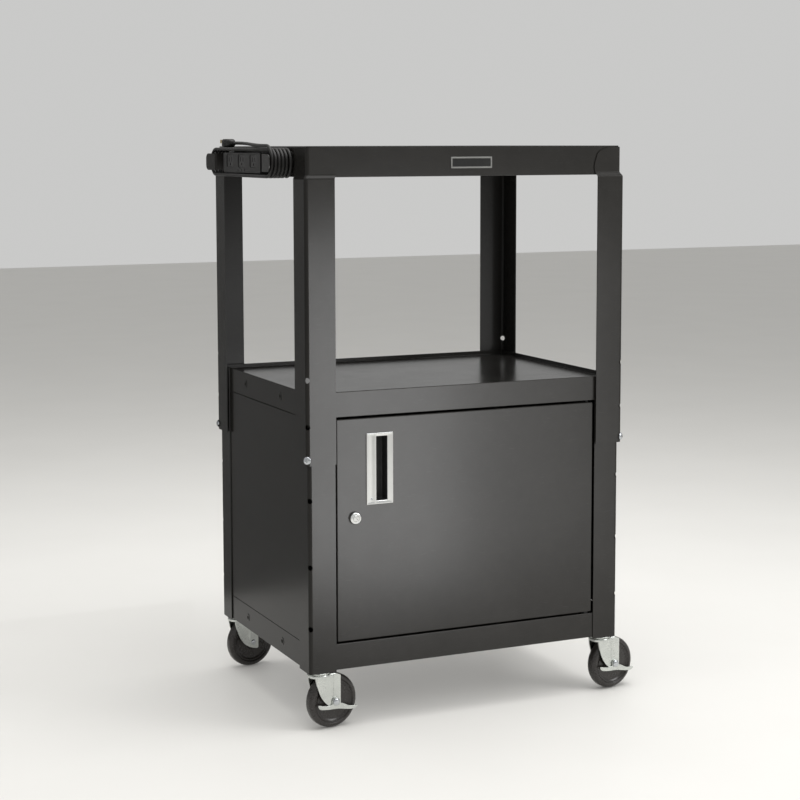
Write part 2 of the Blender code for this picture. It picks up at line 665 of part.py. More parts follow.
# Door, its hinge, pull and lock
def door_mesh():
    """Return the pressed door pan with its cut-outs."""
    half_height = (DOOR_TOP - DOOR_BOTTOM) / 2
    centre = (0, (DOOR_TOP + DOOR_BOTTOM) / 2)
    levels = ((DOOR_SHEET, -DOOR_SHEET), (DOOR_SHEET, DOOR_SHEET - DOOR_DEPTH),
              (DOOR_RETURN, DOOR_SHEET - DOOR_DEPTH), (DOOR_RETURN, -DOOR_DEPTH), (0, -DOOR_DEPTH),
              (0, -DOOR_ROUND), (DOOR_ROUND * (1 - sqrt(0.5)), -DOOR_ROUND * (1 - sqrt(0.5))), (DOOR_ROUND, 0))
    rings = [rectangle(DOOR_HALF - inset, half_height - inset, DOOR_CORNER, height, centre)
             for inset, height in levels]
    left, bottom, right, top = pull_cup_edges()
    gap = TOUCH_GAP
    tools = [box((left - gap, bottom - gap, -DOOR_DEPTH / 2), (right + gap, top + gap, CUT_OVERRUN), FRONT),
             rod(LOCK_BODY_DIAMETER / 2 + gap, -DOOR_DEPTH / 2, CUT_OVERRUN, lock_place()),
             hinge_hole_tool(DOOR_BOTTOM - CUT_OVERRUN, DOOR_BOTTOM + DOOR_SHEET + CUT_OVERRUN),
             hinge_hole_tool(DOOR_TOP - DOOR_SHEET - CUT_OVERRUN, DOOR_TOP + CUT_OVERRUN)]
    return combined(loft(rings, FRONT), tools)


def stiffener_mesh():
    """Return the hat channel that stiffens the door from inside."""
    half = STIFFENER_WIDTH / 2
    web = half - STIFFENER_FLANGE
    sheet = STIFFENER_SHEET
    near = HALF_DEPTH - DOOR_SHEET - TOUCH_GAP
    far = HALF_DEPTH - DOOR_SHEET - STIFFENER_DEPTH
    outline = ((-half, near), (-web, near), (-web, far + sheet), (web, far + sheet), (web, near), (half, near),
               (half, near - sheet), (web + sheet, near - sheet), (web + sheet, far), (-web - sheet, far),
               (-web - sheet, near - sheet), (-half, near - sheet))
    outline = [(x, -y) for x, y in outline]
    return prism(outline, DOOR_BOTTOM + STIFFENER_END_GAP, DOOR_TOP - STIFFENER_END_GAP)


def pull_edges():
    """Return the left, bottom, right and top edges of the pull's bezel."""
    left = -DOOR_HALF + PULL_LEFT
    bottom = DOOR_BOTTOM + PULL_RISE
    return left, bottom, left + PULL_WIDTH, bottom + PULL_HEIGHT


def pull_opening_edges():
    """Return the edges of the finger opening in the bezel."""
    left, bottom, _, top = pull_edges()
    middle = (bottom + top) / 2
    half = PULL_OPENING_HEIGHT / 2
    return left + PULL_BAND, middle - half, left + PULL_BAND + PULL_OPENING_WIDTH, middle + half


def pull_cup_edges():
    """Return the outer edges of the cup, which reaches behind the bezel's wide band."""
    left, bottom, right, top = pull_opening_edges()
    margin = PULL_CUP_MARGIN
    return left - CUP_REACH, bottom - margin, right + margin, top + margin


def edge_ring(edges, height, grow=0.0):
    """Return a square-cornered ring from edges, grown outward by a margin."""
    left, bottom, right, top = edges
    return [(left - grow, bottom - grow, height), (right + grow, bottom - grow, height),
            (right + grow, top + grow, height), (left - grow, top + grow, height)]


def build_pull(chrome, black, door, offset):
    """Make the chrome bezel and the dark cup behind it."""
    outer, inner = pull_edges(), pull_opening_edges()
    low, high = TOUCH_GAP, PULL_PROUD
    rings = [edge_ring(outer, low), edge_ring(outer, high - PULL_EDGE), edge_ring(outer, high, -PULL_EDGE),
             edge_ring(inner, high, PULL_EDGE / 2), edge_ring(inner, high - PULL_EDGE / 2),
             edge_ring(inner, low)]
    add_piece("pull_bezel", loft(rings, FRONT, closed=True), chrome, door, offset)
    cup = pull_cup_edges()
    floor = CUP_WALL - PULL_CUP_DEPTH
    rings = [edge_ring(cup, floor, -CUP_WALL), edge_ring(cup, 0, -CUP_WALL), edge_ring(cup, 0),
             edge_ring(cup, -PULL_CUP_DEPTH)]
    add_piece("pull_cup", loft(rings, FRONT), black, door, offset)


def lock_place():
    """Return the frame on the lock's axis at the door's face, pointing out."""
    return FRONT @ Matrix.Translation((LOCK_X, LOCK_Z, 0))


def build_lock(chrome, zinc, door, lock):
    """Make the barrel and nut on the door, and the cylinder and cam that turn in it."""
    core = LOCK_CORE_DIAMETER / 2
    body = LOCK_BODY_DIAMETER / 2
    face = LOCK_FACE_DIAMETER / 2
    place = lock_place()
    bore = core + TOUCH_GAP
    shoulder = LOCK_PROUD - LOCK_FACE_TAPER * 2
    profile = ((bore, -LOCK_BODY_LENGTH), (body, -LOCK_BODY_LENGTH), (body, TOUCH_GAP), (face, TOUCH_GAP),
               (face, shoulder), (face - LOCK_FACE_TAPER, LOCK_PROUD), (bore, LOCK_PROUD))
    offset = -door.location
    add_piece("lock_barrel", turned(profile, place, closed=True), chrome, door, offset)
    seat = -DOOR_SHEET - TOUCH_GAP
    nut = prism(hexagon(LOCK_NUT_FLATS), seat - LOCK_NUT_HEIGHT, seat, place)
    hole = rod(body + TOUCH_GAP, seat - LOCK_NUT_HEIGHT - CUT_OVERRUN, seat + CUT_OVERRUN, place)
    add_piece("lock_nut", combined(nut, [hole]), zinc, door, offset)

    cam_front = -DOOR_DEPTH - CAM_CLEARANCE
    cam_back = cam_front - CAM_SHEET
    neck = CAM_NECK_DIAMETER / 2
    screw = cam_back - TOUCH_GAP
    face_level = LOCK_PROUD + TOUCH_GAP
    profile = ((0, face_level), (core - TOUCH_GAP, face_level), (core, LOCK_PROUD),
               (core, cam_front + TOUCH_GAP), (neck, cam_front + TOUCH_GAP), (neck, screw), (core, screw),
               (core, screw - CAM_SCREW_RISE), (0, screw - CAM_SCREW_RISE))
    slot = box((-KEY_SLOT_WIDTH / 2, -KEY_SLOT_LENGTH / 2, face_level - KEY_SLOT_DEPTH),
               (KEY_SLOT_WIDTH / 2, KEY_SLOT_LENGTH / 2, face_level + CUT_OVERRUN), place)
    offset = -(door.location + lock.location)
    add_piece("lock_cylinder", combined(turned(profile, place), [slot]), chrome, lock, offset)
    half = CAM_WIDTH / 2
    tip = half / 2
    outline = [(half * cos(step * pi / 6), half * sin(step * pi / 6)) for step in range(7)]
    outline += [(-half, tip - CAM_LENGTH), (-tip, -CAM_LENGTH), (tip, -CAM_LENGTH), (half, tip - CAM_LENGTH)]
    hole = rod(neck + TOUCH_GAP, cam_back - CUT_OVERRUN, cam_front + CUT_OVERRUN, place)
    add_piece("lock_cam", combined(prism(outline, cam_back, cam_front, place), [hole]), zinc, lock, offset)


def strike_mesh():
    """Return the bent strike on the left leg that the cam turns in behind."""
    sheet = STRIKE_SHEET
    cam_front = -HALF_DEPTH + DOOR_DEPTH + CAM_CLEARANCE
    tongue = cam_front - STRIKE_GAP
    right = LEG_REACH - HALF_WIDTH - STRIKE_EDGE_GAP
    web = right - STRIKE_TONGUE
    outline = ((web - STRIKE_BASE, -HALF_DEPTH), (web + sheet, -HALF_DEPTH), (web + sheet, tongue - sheet),
               (right, tongue - sheet), (right, tongue), (web, tongue), (web, sheet - HALF_DEPTH),
               (web - STRIKE_BASE, sheet - HALF_DEPTH))
    return prism(outline, LOCK_Z - STRIKE_HEIGHT / 2, LOCK_Z + STRIKE_HEIGHT / 2)


def build_hinge(zinc):
    """Make the top pin, held by the middle shelf, and the pivot through the bottom shelf."""
    place = Matrix.Translation((HINGE_X, HINGE_Y, 0))
    pin = HINGE_PIN_DIAMETER / 2
    head = HINGE_HEAD_DIAMETER / 2
    seat = MIDDLE_SHELF + SHELF_SHEET + TOUCH_GAP
    low = DOOR_TOP - DOOR_SHEET - HINGE_PIN_LENGTH
    profile = ((0, low), (pin * 0.7, low), (pin, low + pin / 2), (pin, seat), (head, seat),
               (head, seat + HINGE_HEAD_RISE), (0, seat + HINGE_HEAD_RISE))
    add_piece("top_hinge_pin", turned(profile, place), zinc)
    block = PIVOT_BLOCK_DIAMETER / 2
    flange = PIVOT_FLANGE_DIAMETER / 2
    seat = BOTTOM_LIP - LIP_RISE - SHELF_SHEET - TOUCH_GAP
    foot = seat - PIVOT_FLANGE_SHEET
    shoulder = DOOR_BOTTOM - TOUCH_GAP
    tip = DOOR_BOTTOM + DOOR_SHEET + HINGE_PIN_LENGTH
    profile = ((0, foot), (flange, foot), (flange, seat), (block, seat), (block, shoulder), (pin, shoulder),
               (pin, tip - pin / 2), (pin * 0.7, tip), (0, tip))
    add_piece("bottom_hinge_pivot", turned(profile, place), zinc)


def build_door(coat, zinc, chrome, black):
    """Make the door with its stiffener, pull and lock, hung on the hinge axis."""
    door = add_axis("door_hinge_axis", (HINGE_X, HINGE_Y, DOOR_BOTTOM))
    offset = -door.location
    add_piece("door_panel", door_mesh(), coat, door, offset)
    add_piece("door_stiffener", stiffener_mesh(), coat, door, offset)
    build_pull(chrome, black, door, offset)
    lock_axis = Vector((LOCK_X, -HALF_DEPTH, LOCK_Z))
    lock = add_axis("lock_axis", lock_axis - door.location, door)
    build_lock(chrome, zinc, door, lock)
    add_piece("latch_strike", strike_mesh(), zinc)
    build_hinge(zinc)


# Casters
def fork_ring(half_width, height, rear):
    """Return one level of the fork's plan: straight sides and a round front."""
    centre = FORK_FRONT_ROUND - FORK_FRONT
    depth = FORK_FRONT_ROUND - FORK_HALF + half_width
    ring = [(rear, -half_width, height)]
    for step in range(FORK_STEPS + 1):
        angle = -pi / 2 - pi * step / FORK_STEPS
        ring.append((centre + depth * cos(angle), half_width * sin(angle), height))
    ring.append((rear, half_width, height))
    return ring


def fork_side_outline():
    """Return the fork's outline seen from the side, from the rear edge round the nose to the front."""
    rear = CASTER_TRAIL + FORK_NOSE
    top = CROWN_TOP + CUT_OVERRUN
    points = [(rear, top)]
    corner = (rear - FORK_NOSE_ROUND, WHEEL_RADIUS - FORK_NOSE_DROP + FORK_NOSE_ROUND)
    for degrees in range(0, -101, -25):
        angle = radians(degrees)
        points.append((corner[0] + FORK_NOSE_ROUND * cos(angle), corner[1] + FORK_NOSE_ROUND * sin(angle)))
    start = Vector(points[-1])
    end = Vector((-FORK_FRONT, CROWN_TOP - FORK_SKIRT))
    run = start.x - end.x
    bend = Vector((end.x + (1 - FORK_CURVE_SHARES[0]) * run, start.y + FORK_CURVE_SHARES[1] * run))
    for step in range(1, FORK_STEPS):
        share = step / (FORK_STEPS - 1)
        points.append(tuple(start * (1 - share) ** 2 + bend * 2 * share * (1 - share) + end * share ** 2))
    points += [(-FORK_FRONT - CUT_OVERRUN, end.y), (-FORK_FRONT - CUT_OVERRUN, top)]
    return points


def fork_mesh():
    """Return a pressed fork: round crown, two legs with ribs, and holes for kingpin and axle."""
    rear = CASTER_TRAIL + FORK_NOSE
    low = WHEEL_RADIUS - FORK_NOSE_DROP - CUT_OVERRUN
    outer, inner = [fork_ring(FORK_HALF, low, rear)], []
    inner_half = FORK_HALF - FORK_SHEET
    inner.append(fork_ring(inner_half, low - CUT_OVERRUN, rear + CUT_OVERRUN))
    for angle in (0, pi / 4, pi / 2):
        sink, shrink = 1 - sin(angle), 1 - cos(angle)
        outer.append(fork_ring(FORK_HALF - FORK_BEND * shrink, CROWN_TOP - FORK_BEND * sink, rear))
        bend = FORK_BEND - FORK_SHEET
        inner.append(fork_ring(inner_half - bend * shrink, CROWN_UNDER - bend * sink, rear + CUT_OVERRUN))
    side_place = Matrix(((1, 0, 0, 0), (0, 0, -1, 0), (0, 1, 0, 0), (0, 0, 0, 1)))
    side = prism(fork_side_outline(), -2 * FORK_HALF, 2 * FORK_HALF, side_place)
    body = combined(loft(outer), [side], "INTERSECT")
    rib_left = CASTER_TRAIL - FORK_RIB_OFFSET - FORK_RIB_WIDTH / 2
    rib_half = FORK_HALF + FORK_RIB_PROUD
    rib_low, rib_high = WHEEL_RADIUS + FORK_RIB_START, CROWN_TOP - FORK_BEND
    rib_edge = FORK_RIB_PROUD
    outline = ((rib_low, -FORK_HALF), (rib_low + rib_edge, -rib_half), (rib_high - rib_edge, -rib_half),
               (rib_high, -FORK_HALF), (rib_high, FORK_HALF), (rib_high - rib_edge, rib_half),
               (rib_low + rib_edge, rib_half), (rib_low, FORK_HALF))
    rib_place = Matrix(((0, 0, 1, 0), (0, 1, 0, 0), (1, 0, 0, 0), (0, 0, 0, 1)))
    rib = prism(outline, rib_left, rib_left + FORK_RIB_WIDTH, rib_place)
    dish_outer = DISH_DIAMETER / 2
    dish_inner = dish_outer - FORK_SHEET
    hole = KINGPIN_DIAMETER / 2 + TOUCH_GAP
    round_in = FORK_BEND * (1 - sqrt(0.5))
    dish = turned(((hole, CROWN_UNDER), (dish_inner, CROWN_UNDER), (dish_inner, CROWN_TOP - DISH_SKIRT),
                   (dish_outer, CROWN_TOP - DISH_SKIRT), (dish_outer, CROWN_TOP - FORK_BEND),
                   (dish_outer - round_in, CROWN_TOP - round_in), (dish_outer - FORK_BEND, CROWN_TOP),
                   (hole, CROWN_TOP)), steps=DISH_STEPS, closed=True)
    body = combined(body, [rib, dish], "UNION")
    axle_hole = rod(AXLE_DIAMETER / 2 + TOUCH_GAP, -2 * FORK_HALF, 2 * FORK_HALF, WHEEL_PLANE)
    kingpin_hole = rod(hole, CROWN_UNDER - CUT_OVERRUN, CROWN_TOP + CUT_OVERRUN)
    return combined(body, [loft(inner), axle_hole, kingpin_hole])


def wheel_mesh():
    """Return a solid wheel: round shoulders, dished faces and a hub with its bore."""
    half = WHEEL_WIDTH / 2
    shoulder = WHEEL_RADIUS - WHEEL_SHOULDER
    side = [(WHEEL_RADIUS - WHEEL_SHOULDER * (1 - cos(angle)), half - WHEEL_SHOULDER * (1 - sin(angle)))
            for angle in (0, pi / 5, pi / 2)]
    rim = shoulder - WHEEL_RIM + WHEEL_SHOULDER
    hub = HUB_DIAMETER / 2
    bore = AXLE_DIAMETER / 2 + TOUCH_GAP
    side += [(rim, half), (rim - WHEEL_DISH_SLOPE, half - WHEEL_DISH), (hub + HUB_SLOPE, half - WHEEL_DISH),
             (hub, half + HUB_PROUD), (bore, half + HUB_PROUD)]
    profile = side + [(radius, -height) for radius, height in reversed(side)]
    return turned(profile, WHEEL_PLANE, WHEEL_STEPS, closed=True)


def axle_mesh(outer_stack, diameter, dome):
    """Return a riveted axle whose outer head clears what is stacked on the fork."""
    pin = AXLE_DIAMETER / 2
    head = diameter / 2
    near = FORK_HALF + outer_stack + TOUCH_GAP
    far = -FORK_HALF - TOUCH_GAP
    profile = ((0, far - dome), (head * 0.6, far - dome * 0.85), (head, far - dome / 3), (head, far), (pin, far),
               (pin, near), (head, near), (head, near + dome / 3), (head * 0.6, near + dome * 0.85),
               (0, near + dome))
    return turned(profile, WHEEL_PLANE)


def lever_mesh():
    """Return the flat brake lever with an eye on the axle."""
    outline = [(x * LEVER_LENGTH, y * LEVER_LENGTH) for x, y in LEVER_TOP_SHARES]
    for degrees in range(210, -1, -30):
        outline.append((LEVER_EYE * cos(radians(degrees)), LEVER_EYE * sin(radians(degrees))))
    outline += [(x * LEVER_LENGTH, y * LEVER_LENGTH) for x, y in LEVER_TIP_SHARES + LEVER_UNDER_SHARES]
    near = FORK_HALF + TOUCH_GAP
    lever = prism(outline, near, near + LEVER_SHEET, WHEEL_PLANE)
    hole = rod(AXLE_DIAMETER / 2 + TOUCH_GAP, near - CUT_OVERRUN, near + LEVER_SHEET + CUT_OVERRUN, WHEEL_PLANE)
    return combined(lever, [hole])


def stem_mesh():
    """Return the fixed stem with its kingpin, bearing cup, collar and clamped nut."""
    head = KINGPIN_HEAD_DIAMETER / 2
    pin = KINGPIN_DIAMETER / 2
    cup = CUP_DIAMETER / 2
    collar = STEM_COLLAR_DIAMETER / 2
    stem = STEM_DIAMETER / 2
    head_top = CROWN_UNDER - TOUCH_GAP
    nut = MOUNT_TOP + TOUCH_GAP
    tip = nut + STEM_NUT_HEIGHT + STEM_END
    profile = ((0, head_top - KINGPIN_HEAD_RISE), (head * 0.8, head_top - KINGPIN_HEAD_RISE),
               (head, head_top - KINGPIN_HEAD_RISE / 3), (head, head_top), (pin, head_top), (pin, CUP_UNDER),
               (cup, CUP_UNDER), (cup, CUP_TOP - CUP_ROUND), (cup - CUP_ROUND, CUP_TOP), (collar, CUP_TOP),
               (collar, MOUNT_UNDER - TOUCH_GAP), (stem, MOUNT_UNDER - TOUCH_GAP), (stem, tip - stem / 4),
               (stem * 0.75, tip), (0, tip))
    stem_nut = prism(hexagon(STEM_NUT_FLATS), nut, nut + STEM_NUT_HEIGHT)
    return combined(turned(profile), [stem_nut], "UNION")


def mount_mesh(signs):
    """Return the plate welded in a shelf corner to take the caster's stem."""
    near = SHELF_SHEET / 2
    corner = near + SHELF_CORNER * MOUNT_CORNER_SHARE
    nose = MOUNT_REACH * MOUNT_NOSE_SHARE
    insets = ((corner, near), (MOUNT_REACH, near), (MOUNT_REACH, nose), (nose, MOUNT_REACH), (near, MOUNT_REACH),
              (near, corner))
    outline = [(signs[0] * (HALF_WIDTH - x), signs[1] * (HALF_DEPTH - y)) for x, y in insets]
    return prism(outline, MOUNT_UNDER, MOUNT_TOP)


def caster_point(signs):
    """Return the floor point under a caster's swivel axis."""
    return Vector((signs[0] * (HALF_WIDTH - CASTER_INSET_X), signs[1] * (HALF_DEPTH - CASTER_INSET_Y), 0))


def build_casters(zinc, rubber):
    """Make the four casters, all turned alike, with brake levers on the front two."""
    fork, wheel, stem = fork_mesh(), wheel_mesh(), stem_mesh()
    braked_axle = axle_mesh(LEVER_SHEET + TOUCH_GAP, AXLE_HEAD_DIAMETER, AXLE_HEAD_RISE)
    plain_axle = axle_mesh(0, PLAIN_HEAD_DIAMETER, PLAIN_HEAD_RISE)
    lever = lever_mesh()
    axle_point = Vector((CASTER_TRAIL, 0, WHEEL_RADIUS))
    for corner, signs in CORNERS.items():
        swivel = add_axis("swivel_axis_" + corner, caster_point(signs), turn=CASTER_AZIMUTH)
        roll = add_axis("wheel_axis_" + corner, axle_point, swivel)
        braked = signs[1] < 0
        add_piece("caster_stem_" + corner, stem, zinc, offset=caster_point(signs))
        add_piece("caster_fork_" + corner, fork, zinc, swivel)
        add_piece("caster_axle_" + corner, braked_axle if braked else plain_axle, zinc, swivel)
        add_piece("caster_wheel_" + corner, wheel, rubber, roll, -axle_point)
        if braked:
            add_piece("brake_lever_" + corner, lever, zinc, roll, -axle_point)


# Nameplate
def nameplate_mesh():
    """Return a blank plate with a raised frame on the top shelf's front skirt."""
    centre = (PLATE_CENTRE_X, TOP_SHELF + PLATE_RISE + PLATE_HEIGHT / 2)
    half_x, half_y = PLATE_WIDTH / 2, PLATE_HEIGHT / 2
    face = TOUCH_GAP + PLATE_THICKNESS
    corner = PLATE_FRAME / 2
    levels = ((0, TOUCH_GAP), (0, face), (PLATE_FRAME, face), (PLATE_FRAME, face - PLATE_SINK))
    rings = [rectangle(half_x - inset, half_y - inset, corner, height, centre) for inset, height in levels]
    return loft(rings, FRONT)


# Winding bracket and power unit
NECK_HALF = HOUSING_HALF + NECK_ROOM
EAR_HALF = NECK_HALF + EAR_LENGTH
RIVET_HALF = (HOUSING_HALF + NECK_HALF - BRACKET_SHEET) / 2
CORD_HALF_LENGTH = EAR_HALF - CORD_EAR_MARGIN
PLUG_START = CORD_HALF_LENGTH - PLUG_SETBACK
BASE_OUTER = TOUCH_GAP + BRACKET_SHEET
CORD_RADIUS = CORD_DIAMETER / 2
CORD_LOW = TOP_SHELF + CORD_BOTTOM
CORD_HIGH = CORD_LOW + CORD_HEIGHT
CORD_LAST = CORD_FIRST + CORD_PITCH * CORD_LOOPS
EAR_INNER = CORD_LAST + CORD_RADIUS + EAR_CORD_GAP
HOUSING_BACK = BASE_OUTER + TOUCH_GAP
HOUSING_LOW = TOP_SHELF + HOUSING_BOTTOM
EXIT_DEPTH = HOUSING_BACK + HOUSING_WALL + TOUCH_GAP + RELIEF_NECK_DIAMETER / 2
EXIT_LEVEL = HOUSING_LOW + HOUSING_WALL + TOUCH_GAP + RELIEF_NECK_DIAMETER / 2
BRACKET_LOW = TOP_SHELF + BRACKET_BOTTOM


def rivet_place(sign):
    """Return the frame of a bracket rivet at the shelf's side, pointing out."""
    return LEFT @ Matrix.Translation((sign * RIVET_HALF, BRACKET_LOW + BRACKET_HEIGHT / 2, 0))


def bracket_mesh():
    """Return the bent bracket: base on the skirt, two necks and two flared ears."""
    sheet = BRACKET_SHEET
    high = BRACKET_LOW + BRACKET_HEIGHT
    half = [(NECK_HALF, TOUCH_GAP), (NECK_HALF, EAR_INNER), (EAR_HALF, EAR_INNER + EAR_FLARE),
            (EAR_HALF, EAR_INNER + EAR_FLARE + sheet), (NECK_HALF - sheet, EAR_INNER + sheet),
            (NECK_HALF - sheet, BASE_OUTER)]
    outline = half + [(-x, y) for x, y in reversed(half)]
    plan = Matrix(((0, -1, 0, -HALF_WIDTH), (-1, 0, 0, 0), (0, 0, 1, 0), (0, 0, 0, 1)))
    body = prism(outline, BRACKET_LOW, high, plan)
    far = EAR_HALF + CUT_OVERRUN
    tools = []
    for side in (-1, 1):
        for edge, inward in ((BRACKET_LOW, 1), (high, -1)):
            corner = [(side * (EAR_HALF - EAR_CHAMFER), edge - inward * CUT_OVERRUN),
                      (side * (EAR_HALF - EAR_CHAMFER), edge), (side * EAR_HALF, edge + inward * EAR_CHAMFER),
                      (side * far, edge + inward * EAR_CHAMFER), (side * far, edge - inward * CUT_OVERRUN)]
            tools.append(prism(corner, EAR_INNER / 2, 2 * EAR_INNER, LEFT))
    notch_half = CORD_RADIUS + NOTCH_MARGIN
    tools.append(box((NECK_HALF - 2 * sheet, BRACKET_LOW - CUT_OVERRUN, EXIT_DEPTH - notch_half - NOTCH_MARGIN),
                     (NECK_HALF + sheet, EXIT_LEVEL + notch_half, EXIT_DEPTH + notch_half), LEFT))
    tools += [rod(RIVET_DIAMETER / 2 + TOUCH_GAP, -CUT_OVERRUN, CUT_OVERRUN, rivet_place(sign))
              for sign in (-1, 1)]
    return combined(body, tools)


def rivet_mesh(sign):
    """Return a rivet through the bracket's base and the shelf's skirt."""
    pin = RIVET_DIAMETER / 2
    head = RIVET_HEAD_DIAMETER / 2
    near = BASE_OUTER + TOUCH_GAP
    far = -SHELF_SHEET - TOUCH_GAP
    rise = RIVET_HEAD_RISE
    profile = ((0, far - rise), (head * 0.7, far - rise), (head * 0.8, far), (pin, far), (pin, near), (head, near),
               (head * 0.85, near + rise * 0.6), (head * 0.45, near + rise * 0.95), (0, near + rise))
    return turned(profile, rivet_place(sign))


def receptacle_centre(index):
    """Return a receptacle's centre along the housing and up it."""
    along = (index - (RECEPTACLE_COUNT - 1) / 2) * RECEPTACLE_PITCH
    return along, HOUSING_LOW + HOUSING_HEIGHT / 2 + RECEPTACLE_LIFT


def housing_mesh():
    """Return the open housing with the hole for the strain relief in its front end."""
    centre = (0, HOUSING_LOW + HOUSING_HEIGHT / 2)
    half_y = HOUSING_HEIGHT / 2
    front = HOUSING_FACE - FACE_SHEET - TOUCH_GAP
    wall = HOUSING_WALL
    levels = ((wall, HOUSING_BACK + wall), (wall, front), (0, front), (0, HOUSING_BACK))
    rings = [rectangle(HOUSING_HALF - inset, half_y - inset, max(HOUSING_CORNER - inset, TOUCH_GAP), depth, centre)
             for inset, depth in levels]
    hole = rod(RELIEF_NECK_DIAMETER / 2 + TOUCH_GAP, HOUSING_HALF - wall - CUT_OVERRUN,
               HOUSING_HALF + CUT_OVERRUN, relief_place())
    return combined(loft(rings, LEFT), [hole])


def relief_place():
    """Return the frame of the cord's exit, with its third axis pointing to the front."""
    side = Matrix(((0, -1, 0, -HALF_WIDTH), (0, 0, -1, 0), (1, 0, 0, 0), (0, 0, 0, 1)))
    return side @ Matrix.Translation((EXIT_LEVEL, EXIT_DEPTH, 0))


def relief_mesh():
    """Return the tapered strain relief that grips the housing's end wall."""
    neck = RELIEF_NECK_DIAMETER / 2
    collar = RELIEF_COLLAR_DIAMETER / 2
    tip = RELIEF_TIP_DIAMETER / 2
    wall_out = HOUSING_HALF + TOUCH_GAP
    start = HOUSING_HALF - HOUSING_WALL - RELIEF_INSIDE
    profile = ((0, start), (neck - TOUCH_GAP, start), (neck, start + TOUCH_GAP), (neck, wall_out),
               (collar, wall_out), (collar, wall_out + RELIEF_COLLAR_RISE),
               (neck, wall_out + RELIEF_COLLAR_RISE), (tip, HOUSING_HALF + RELIEF_REACH),
               (0, HOUSING_HALF + RELIEF_REACH))
    return turned(profile, relief_place())


def faceplate_mesh():
    """Return the faceplate with its receptacle openings and three small slots."""
    centre = (0, HOUSING_LOW + HOUSING_HEIGHT / 2)
    back = HOUSING_FACE - FACE_SHEET
    levels = ((0, back), (0, HOUSING_FACE - FACE_ROUND), (FACE_ROUND, HOUSING_FACE))
    rings = [rectangle(HOUSING_HALF - inset, HOUSING_HEIGHT / 2 - inset, HOUSING_CORNER, depth, centre)
             for inset, depth in levels]
    low, high = back - CUT_OVERRUN, HOUSING_FACE + CUT_OVERRUN
    tools = []
    for index in range(RECEPTACLE_COUNT):
        ring = [rectangle(RECEPTACLE_WIDTH / 2 + TOUCH_GAP, RECEPTACLE_HEIGHT / 2 + TOUCH_GAP, RECEPTACLE_CORNER,
                          depth, receptacle_centre(index)) for depth in (low, high)]
        tools.append(loft(ring, LEFT))
        along = (index - (RECEPTACLE_COUNT - 1) / 2) * VENT_SLOT_PITCH
        level = HOUSING_LOW + VENT_SLOT_RISE
        tools.append(box((along - VENT_SLOT_WIDTH / 2, level - VENT_SLOT_HEIGHT / 2, low),
                         (along + VENT_SLOT_WIDTH / 2, level + VENT_SLOT_HEIGHT / 2, high), LEFT))
    return combined(loft(rings, LEFT), tools)


def receptacle_mesh():
    """Return the moulding behind the faceplate: three receptacles on one bar."""
    face = HOUSING_FACE - FACE_ROUND
    floor, high = face - SLOT_DEPTH, face + CUT_OVERRUN
    blocks, tools = [], []
    for index in range(RECEPTACLE_COUNT):
        along, level = receptacle_centre(index)
        rings = [rectangle(RECEPTACLE_WIDTH / 2, RECEPTACLE_HEIGHT / 2, RECEPTACLE_CORNER, depth, (along, level))
                 for depth in (face - RECEPTACLE_DEPTH, face)]
        blocks.append(loft(rings, LEFT))
        lift = level + BLADE_SLOT_LIFT
        for sign in (-1, 1):
            middle = along + sign * BLADE_SLOT_SPACING / 2
            tools.append(box((middle - BLADE_SLOT_WIDTH / 2, lift - BLADE_SLOT_HEIGHT / 2, floor),
                             (middle + BLADE_SLOT_WIDTH / 2, lift + BLADE_SLOT_HEIGHT / 2, high), LEFT))
        place = LEFT @ Matrix.Translation((along, level - EARTH_SLOT_DROP, 0))
        tools.append(rod(EARTH_SLOT_DIAMETER / 2, floor, high, place, steps=8))
    back = HOUSING_FACE - FACE_SHEET - TOUCH_GAP
    level = receptacle_centre(0)[1]
    half_x = RECEPTACLE_PITCH + RECEPTACLE_WIDTH / 2 + RECEPTACLE_BAR_MARGIN
    half_y = RECEPTACLE_HEIGHT / 2 + RECEPTACLE_BAR_MARGIN
    bar = box((-half_x, level - half_y, back - RECEPTACLE_BAR), (half_x, level + half_y, back), LEFT)
    return combined(combined(bar, blocks, "UNION"), tools)


# Cord
def end_arc(centre, radius, start, end, count):
    """Return points (along, level) on an arc; angles run from straight down towards the front."""
    return [(centre[0] + radius * sin(start + (end - start) * step / (count - 1)),
             centre[1] - radius * cos(start + (end - start) * step / (count - 1))) for step in range(count)]


